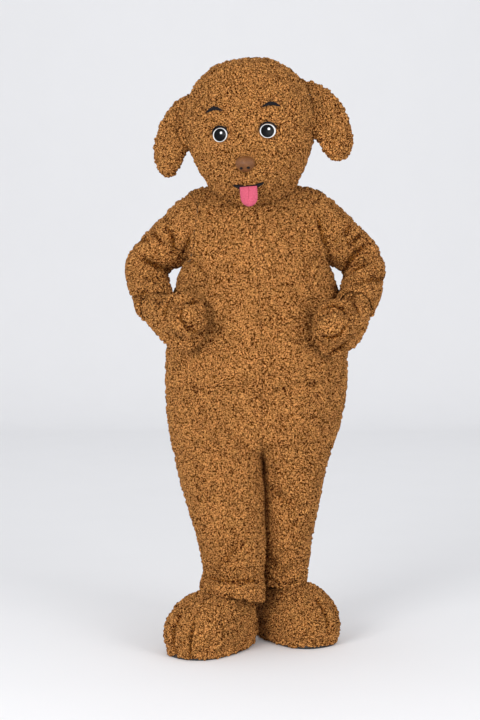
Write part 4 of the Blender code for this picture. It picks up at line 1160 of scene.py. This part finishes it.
@dataclass
class Trim:
    """A small piece refined from its node: rounded edges and a smooth surface."""

    node: str
    slot: str
    bevel: float = 0.0004
    levels: int = 2
    angle: float = 40.0

    def build(self, finish: bpy.types.Material) -> bpy.types.Object:
        """Makes the piece.

        Args:
            finish: its material.

        Returns:
            The piece, which stands for its node.
        """
        shape = merged_copy(self.node)
        limit = math.radians(self.angle)
        sharp = [edge for edge in shape.edges if edge.calc_face_angle(0.0) > limit]
        bmesh.ops.bevel(
            shape,
            geom=sharp,
            offset=self.bevel,
            offset_type="OFFSET",
            segments=2,
            profile=0.5,
            affect="EDGES",
            material=-1,
            clamp_overlap=True,
        )
        for face in shape.faces:
            face.smooth = True
        piece = place_piece(f"dressed_{self.node}", shape, (finish,))
        rounding = piece.modifiers.new("rounding", "SUBSURF")
        rounding.levels = self.levels
        rounding.render_levels = self.levels
        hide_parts(self.node)
        log.info("trim %s", self.node)
        return piece


def widen_on(piece: bpy.types.Object, carrier: str, times: float) -> None:
    """Widens a thin disc about its middle and lays it on the node that carries it.

    Args:
        piece: the disc, facing -Y.
        carrier: the node under it.
        times: how much wider it gets.
    """
    tree = tree_of([carrier])
    verts = piece.data.vertices
    middle = sum((vert.co for vert in verts), Vector()) / len(verts)
    for vert in verts:
        was = depth_at(tree, vert.co.x, vert.co.z)
        x = middle.x + (vert.co.x - middle.x) * times
        z = middle.z + (vert.co.z - middle.z) * times
        vert.co = (x, vert.co.y + depth_at(tree, x, z) - was, z)


def depth_at(tree: BVHTree, x: float, z: float) -> float:
    """The y of a surface seen from the front."""
    return tree.ray_cast(Vector((x, -1.0, z)), Vector((0.0, 1.0, 0.0)))[0].y


@dataclass
class ZipCoil:
    """The closed zip's teeth, on the inner face of its tape."""

    tape: str = "back_zip"
    pitch: float = 0.0035
    ends: float = 0.012
    size: tuple[float, float, float] = (0.0052, 0.0011, 0.0019)
    lean: float = 0.0010

    def build(self, wardrobe: Wardrobe) -> None:
        """Lays a row of teeth down the tape."""
        low, high = box_of(self.tape)
        tree = tree_of([self.tape])
        middle = (low.x + high.x) / 2.0
        top = high.z - self.ends
        count = int((top - self.ends - low.z) / self.pitch)
        shape = bmesh.new()
        for index in range(count):
            height = top - index * self.pitch
            hit = tree.ray_cast(Vector((middle, 0.0, height)), Vector((0.0, 1.0, 0.0)))[0]
            if hit is None:
                continue
            lean = self.lean if index % 2 else -self.lean
            at = Matrix.Translation((middle + lean, hit.y - self.size[1] / 2.0, height))
            made = bmesh.ops.create_cube(shape, size=1.0)
            bmesh.ops.scale(shape, vec=self.size, verts=made["verts"])
            bmesh.ops.transform(shape, matrix=at, verts=made["verts"])
        coil = place_piece("zip_coil", shape, (wardrobe.coil,))
        log.info("zip coil: %d teeth", count)


@dataclass
class Jumpsuit:
    """The body: two fronts, two backs, two sleeves and the concealed zip at the back."""

    panel_cut: tuple[float, float] = (0.50, 1.36)
    sleeve_cut: tuple[float, float] = (0.52, 0.60)
    tape_cut: tuple[float, float] = (0.040, 0.66)
    grain: float = 0.0031

    def build(self, wardrobe: Wardrobe) -> None:
        """Dresses the body.

        Args:
            wardrobe: the finishes.
        """
        for stem in ("front", "back"):
            for side in SIDES:
                piece = FurCloth(f"{stem}_{side}", grain=self.grain, creases=BODY_FOLDS).build(wardrobe)
        for side in SIDES:
            piece = FurCloth(f"sleeve_{side}", edge_angle=60.0, creases=SLEEVE_FOLDS).build(wardrobe)
        tape = Trim("back_zip", "zip_tape", 0.0002, 1).build(wardrobe.tape)
        ZipCoil().build(wardrobe)


@dataclass
class Head:
    """The big hollow head, its ears and its face."""

    cuts: dict[str, tuple[float, float]] = field(
        default_factory=lambda: {
            "head_face": (0.45, 0.46),
            "head_side": (0.32, 0.42),
            "head_back": (0.30, 0.42),
            "head_crown": (0.26, 0.26),
        }
    )
    pupil_widening: float = 1.36
    brow_cut: tuple[float, float] = (0.062, 0.018)
    mouth_cut: tuple[float, float] = (0.105, 0.020)

    def build(self, wardrobe: Wardrobe) -> None:
        """Dresses the head.

        Args:
            wardrobe: the finishes.
        """
        for node in FUR_NODES:
            if node.startswith("ear_"):
                FurCloth(node, pile=EAR_PILE, both_sides=True).build(wardrobe)
            if not node.startswith("head_"):
                continue
            features = FACE_NODES if node == "head_face" else ()
            piece = FurCloth(node, pile=EAR_PILE, features=features).build(wardrobe)
        for side in SIDES:
            Trim(f"eye_{side}", "eye_white", 0.0006).build(wardrobe.white)
            Trim(f"glint_{side}", "eye_white", 0.0001, 1).build(wardrobe.white)
            pupil = Trim(f"pupil_{side}", "eye_black", 0.0003, 1).build(wardrobe.black)
            widen_on(pupil, f"eye_{side}", self.pupil_widening)
            Trim(f"lid_{side}", "eye_black", 0.0003, 1).build(wardrobe.black)
            brow = Trim(f"brow_{side}", "black_felt", 0.0003, 1).build(wardrobe.felt)
            Trim(f"nostril_{side}", "black_felt", 0.0002, 1).build(wardrobe.felt)
        Trim("nose", "nose_leather", 0.0010).build(wardrobe.leather)
        mouth = Trim("mouth", "black_felt", 0.0003, 1).build(wardrobe.felt)
        Trim("tongue", "pink_fleece", 0.0010).build(wardrobe.fleece)


@dataclass
class Mitts:
    """The two closed paw mitts."""

    cuts: dict[str, tuple[float, float]] = field(
        default_factory=lambda: {
            "mitt_back": (0.24, 0.30),
            "mitt_palm": (0.24, 0.28),
            "mitt_thumb": (0.13, 0.15),
        }
    )

    def build(self, wardrobe: Wardrobe) -> None:
        """Dresses the mitts.

        Args:
            wardrobe: the finishes.
        """
        for side in SIDES:
            for stem, cut in self.cuts.items():
                piece = FurCloth(f"{stem}_{side}", pile=MITT_PILE, grain=0.0025, creases=MITT_FOLDS).build(wardrobe)


@dataclass
class PawShoes:
    """The two paw shoes: fur uppers on black soles."""

    cuts: dict[str, tuple[float, float]] = field(
        default_factory=lambda: {"shoe_front": (0.44, 0.34), "shoe_heel": (0.42, 0.30)}
    )

    def build(self, wardrobe: Wardrobe) -> None:
        """Dresses the shoes.

        Args:
            wardrobe: the finishes.
        """
        for side in SIDES:
            for stem, cut in self.cuts.items():
                piece = FurCloth(f"{stem}_{side}", creases=TOE_GROOVES, skirt=0.0075).build(wardrobe)
            Trim(f"shoe_sole_{side}", "sole_rubber", 0.0015, 1).build(wardrobe.rubber)


# ------------------------------------------------------------------------------ studio


@dataclass
class Studio:
    """Floor, backdrop, lights and camera."""

    distance: float = 4.60
    camera_x: float = -0.05
    camera_height: float = 1.10
    pitch: float = 2.46
    lens: float = 71.85
    floor_half: float = 9.0
    floor_end: float = 7.2
    sweep: float = 1.6
    wall: float = 5.0
    world: Colour = (0.96, 0.97, 1.0)
    world_strength: float = 0.78

    def build(self) -> None:
        """Sets up the studio."""
        self._backdrop()
        self._lights()
        self._camera()

    def _backdrop(self) -> None:
        """A paper sweep from the floor up behind the costume."""
        shape = bmesh.new()
        bmesh.ops.create_grid(shape, x_segments=1, y_segments=1, size=self.floor_half)
        bmesh.ops.translate(shape, verts=shape.verts, vec=(0.0, self.floor_end - self.floor_half, FLOOR))
        far = [edge for edge in shape.edges if all(vert.co.y > self.floor_end - 0.1 for vert in edge.verts)]
        centre = (0.0, self.floor_end, FLOOR + self.sweep)
        turned = bmesh.ops.spin(
            shape, geom=far, cent=centre, axis=(1.0, 0.0, 0.0), angle=math.pi / 2.0, steps=24, use_duplicate=False
        )
        top = [item for item in turned["geom_last"] if isinstance(item, bmesh.types.BMEdge)]
        raised = bmesh.ops.extrude_edge_only(shape, edges=top)
        verts = [item for item in raised["geom"] if isinstance(item, bmesh.types.BMVert)]
        bmesh.ops.translate(shape, verts=verts, vec=(0.0, 0.0, self.wall))
        bmesh.ops.recalc_face_normals(shape, faces=shape.faces)
        mesh = bpy.data.meshes.new("backdrop")
        shape.to_mesh(mesh)
        shape.free()
        for face in mesh.polygons:
            face.use_smooth = True
        mesh.materials.append(PaleStudio().material())
        backdrop = bpy.data.objects.new("backdrop", mesh)
        bpy.context.scene.collection.objects.link(backdrop)

    def _lights(self) -> None:
        """A large key from the front left, a fill from the right and a wash on the wall."""
        world = bpy.data.worlds.new("studio")
        world.use_nodes = True
        shade = world.node_tree.nodes["Background"]
        shade.inputs["Color"].default_value = (*self.world, 1.0)
        shade.inputs["Strength"].default_value = self.world_strength
        bpy.context.scene.world = world
        bpy.context.scene.view_settings.view_transform = "Standard"
        for name, place, aim, size, power in (
            ("key", (-3.2, -4.8, 0.9), (0.0, 0.0, -0.7), 2.4, 195.0),
            ("fill", (3.8, -4.4, 0.4), (0.0, 0.0, -0.8), 2.6, 135.0),
            ("wall", (0.0, 3.6, 3.4), (0.0, 8.8, 0.2), 3.0, 22.0),
        ):
            data = bpy.data.lights.new(name, "AREA")
            data.shape = "SQUARE"
            data.size = size
            data.energy = power
            light = bpy.data.objects.new(name, data)
            light.location = place
            light.rotation_euler = (Vector(aim) - Vector(place)).to_track_quat("-Z", "Y").to_euler()
            bpy.context.scene.collection.objects.link(light)

    def _camera(self) -> None:
        """A level portrait view from the front, a little above the waist."""
        data = bpy.data.cameras.new("view")
        data.sensor_fit = "AUTO"
        data.sensor_width = 36.0
        data.lens = self.lens
        camera = bpy.data.objects.new("view", data)
        camera.location = (self.camera_x, -self.distance, FLOOR + self.camera_height)
        camera.rotation_euler = (math.radians(90.0 - self.pitch), 0.0, 0.0)
        bpy.context.scene.collection.objects.link(camera)
        bpy.context.scene.camera = camera


def main() -> None:
    """Builds the costume and its studio in order."""
    wardrobe = Wardrobe()
    Jumpsuit().build(wardrobe)
    Head().build(wardrobe)
    Mitts().build(wardrobe)
    PawShoes().build(wardrobe)
    Studio().build()


if __name__ == "__main__":
    main()
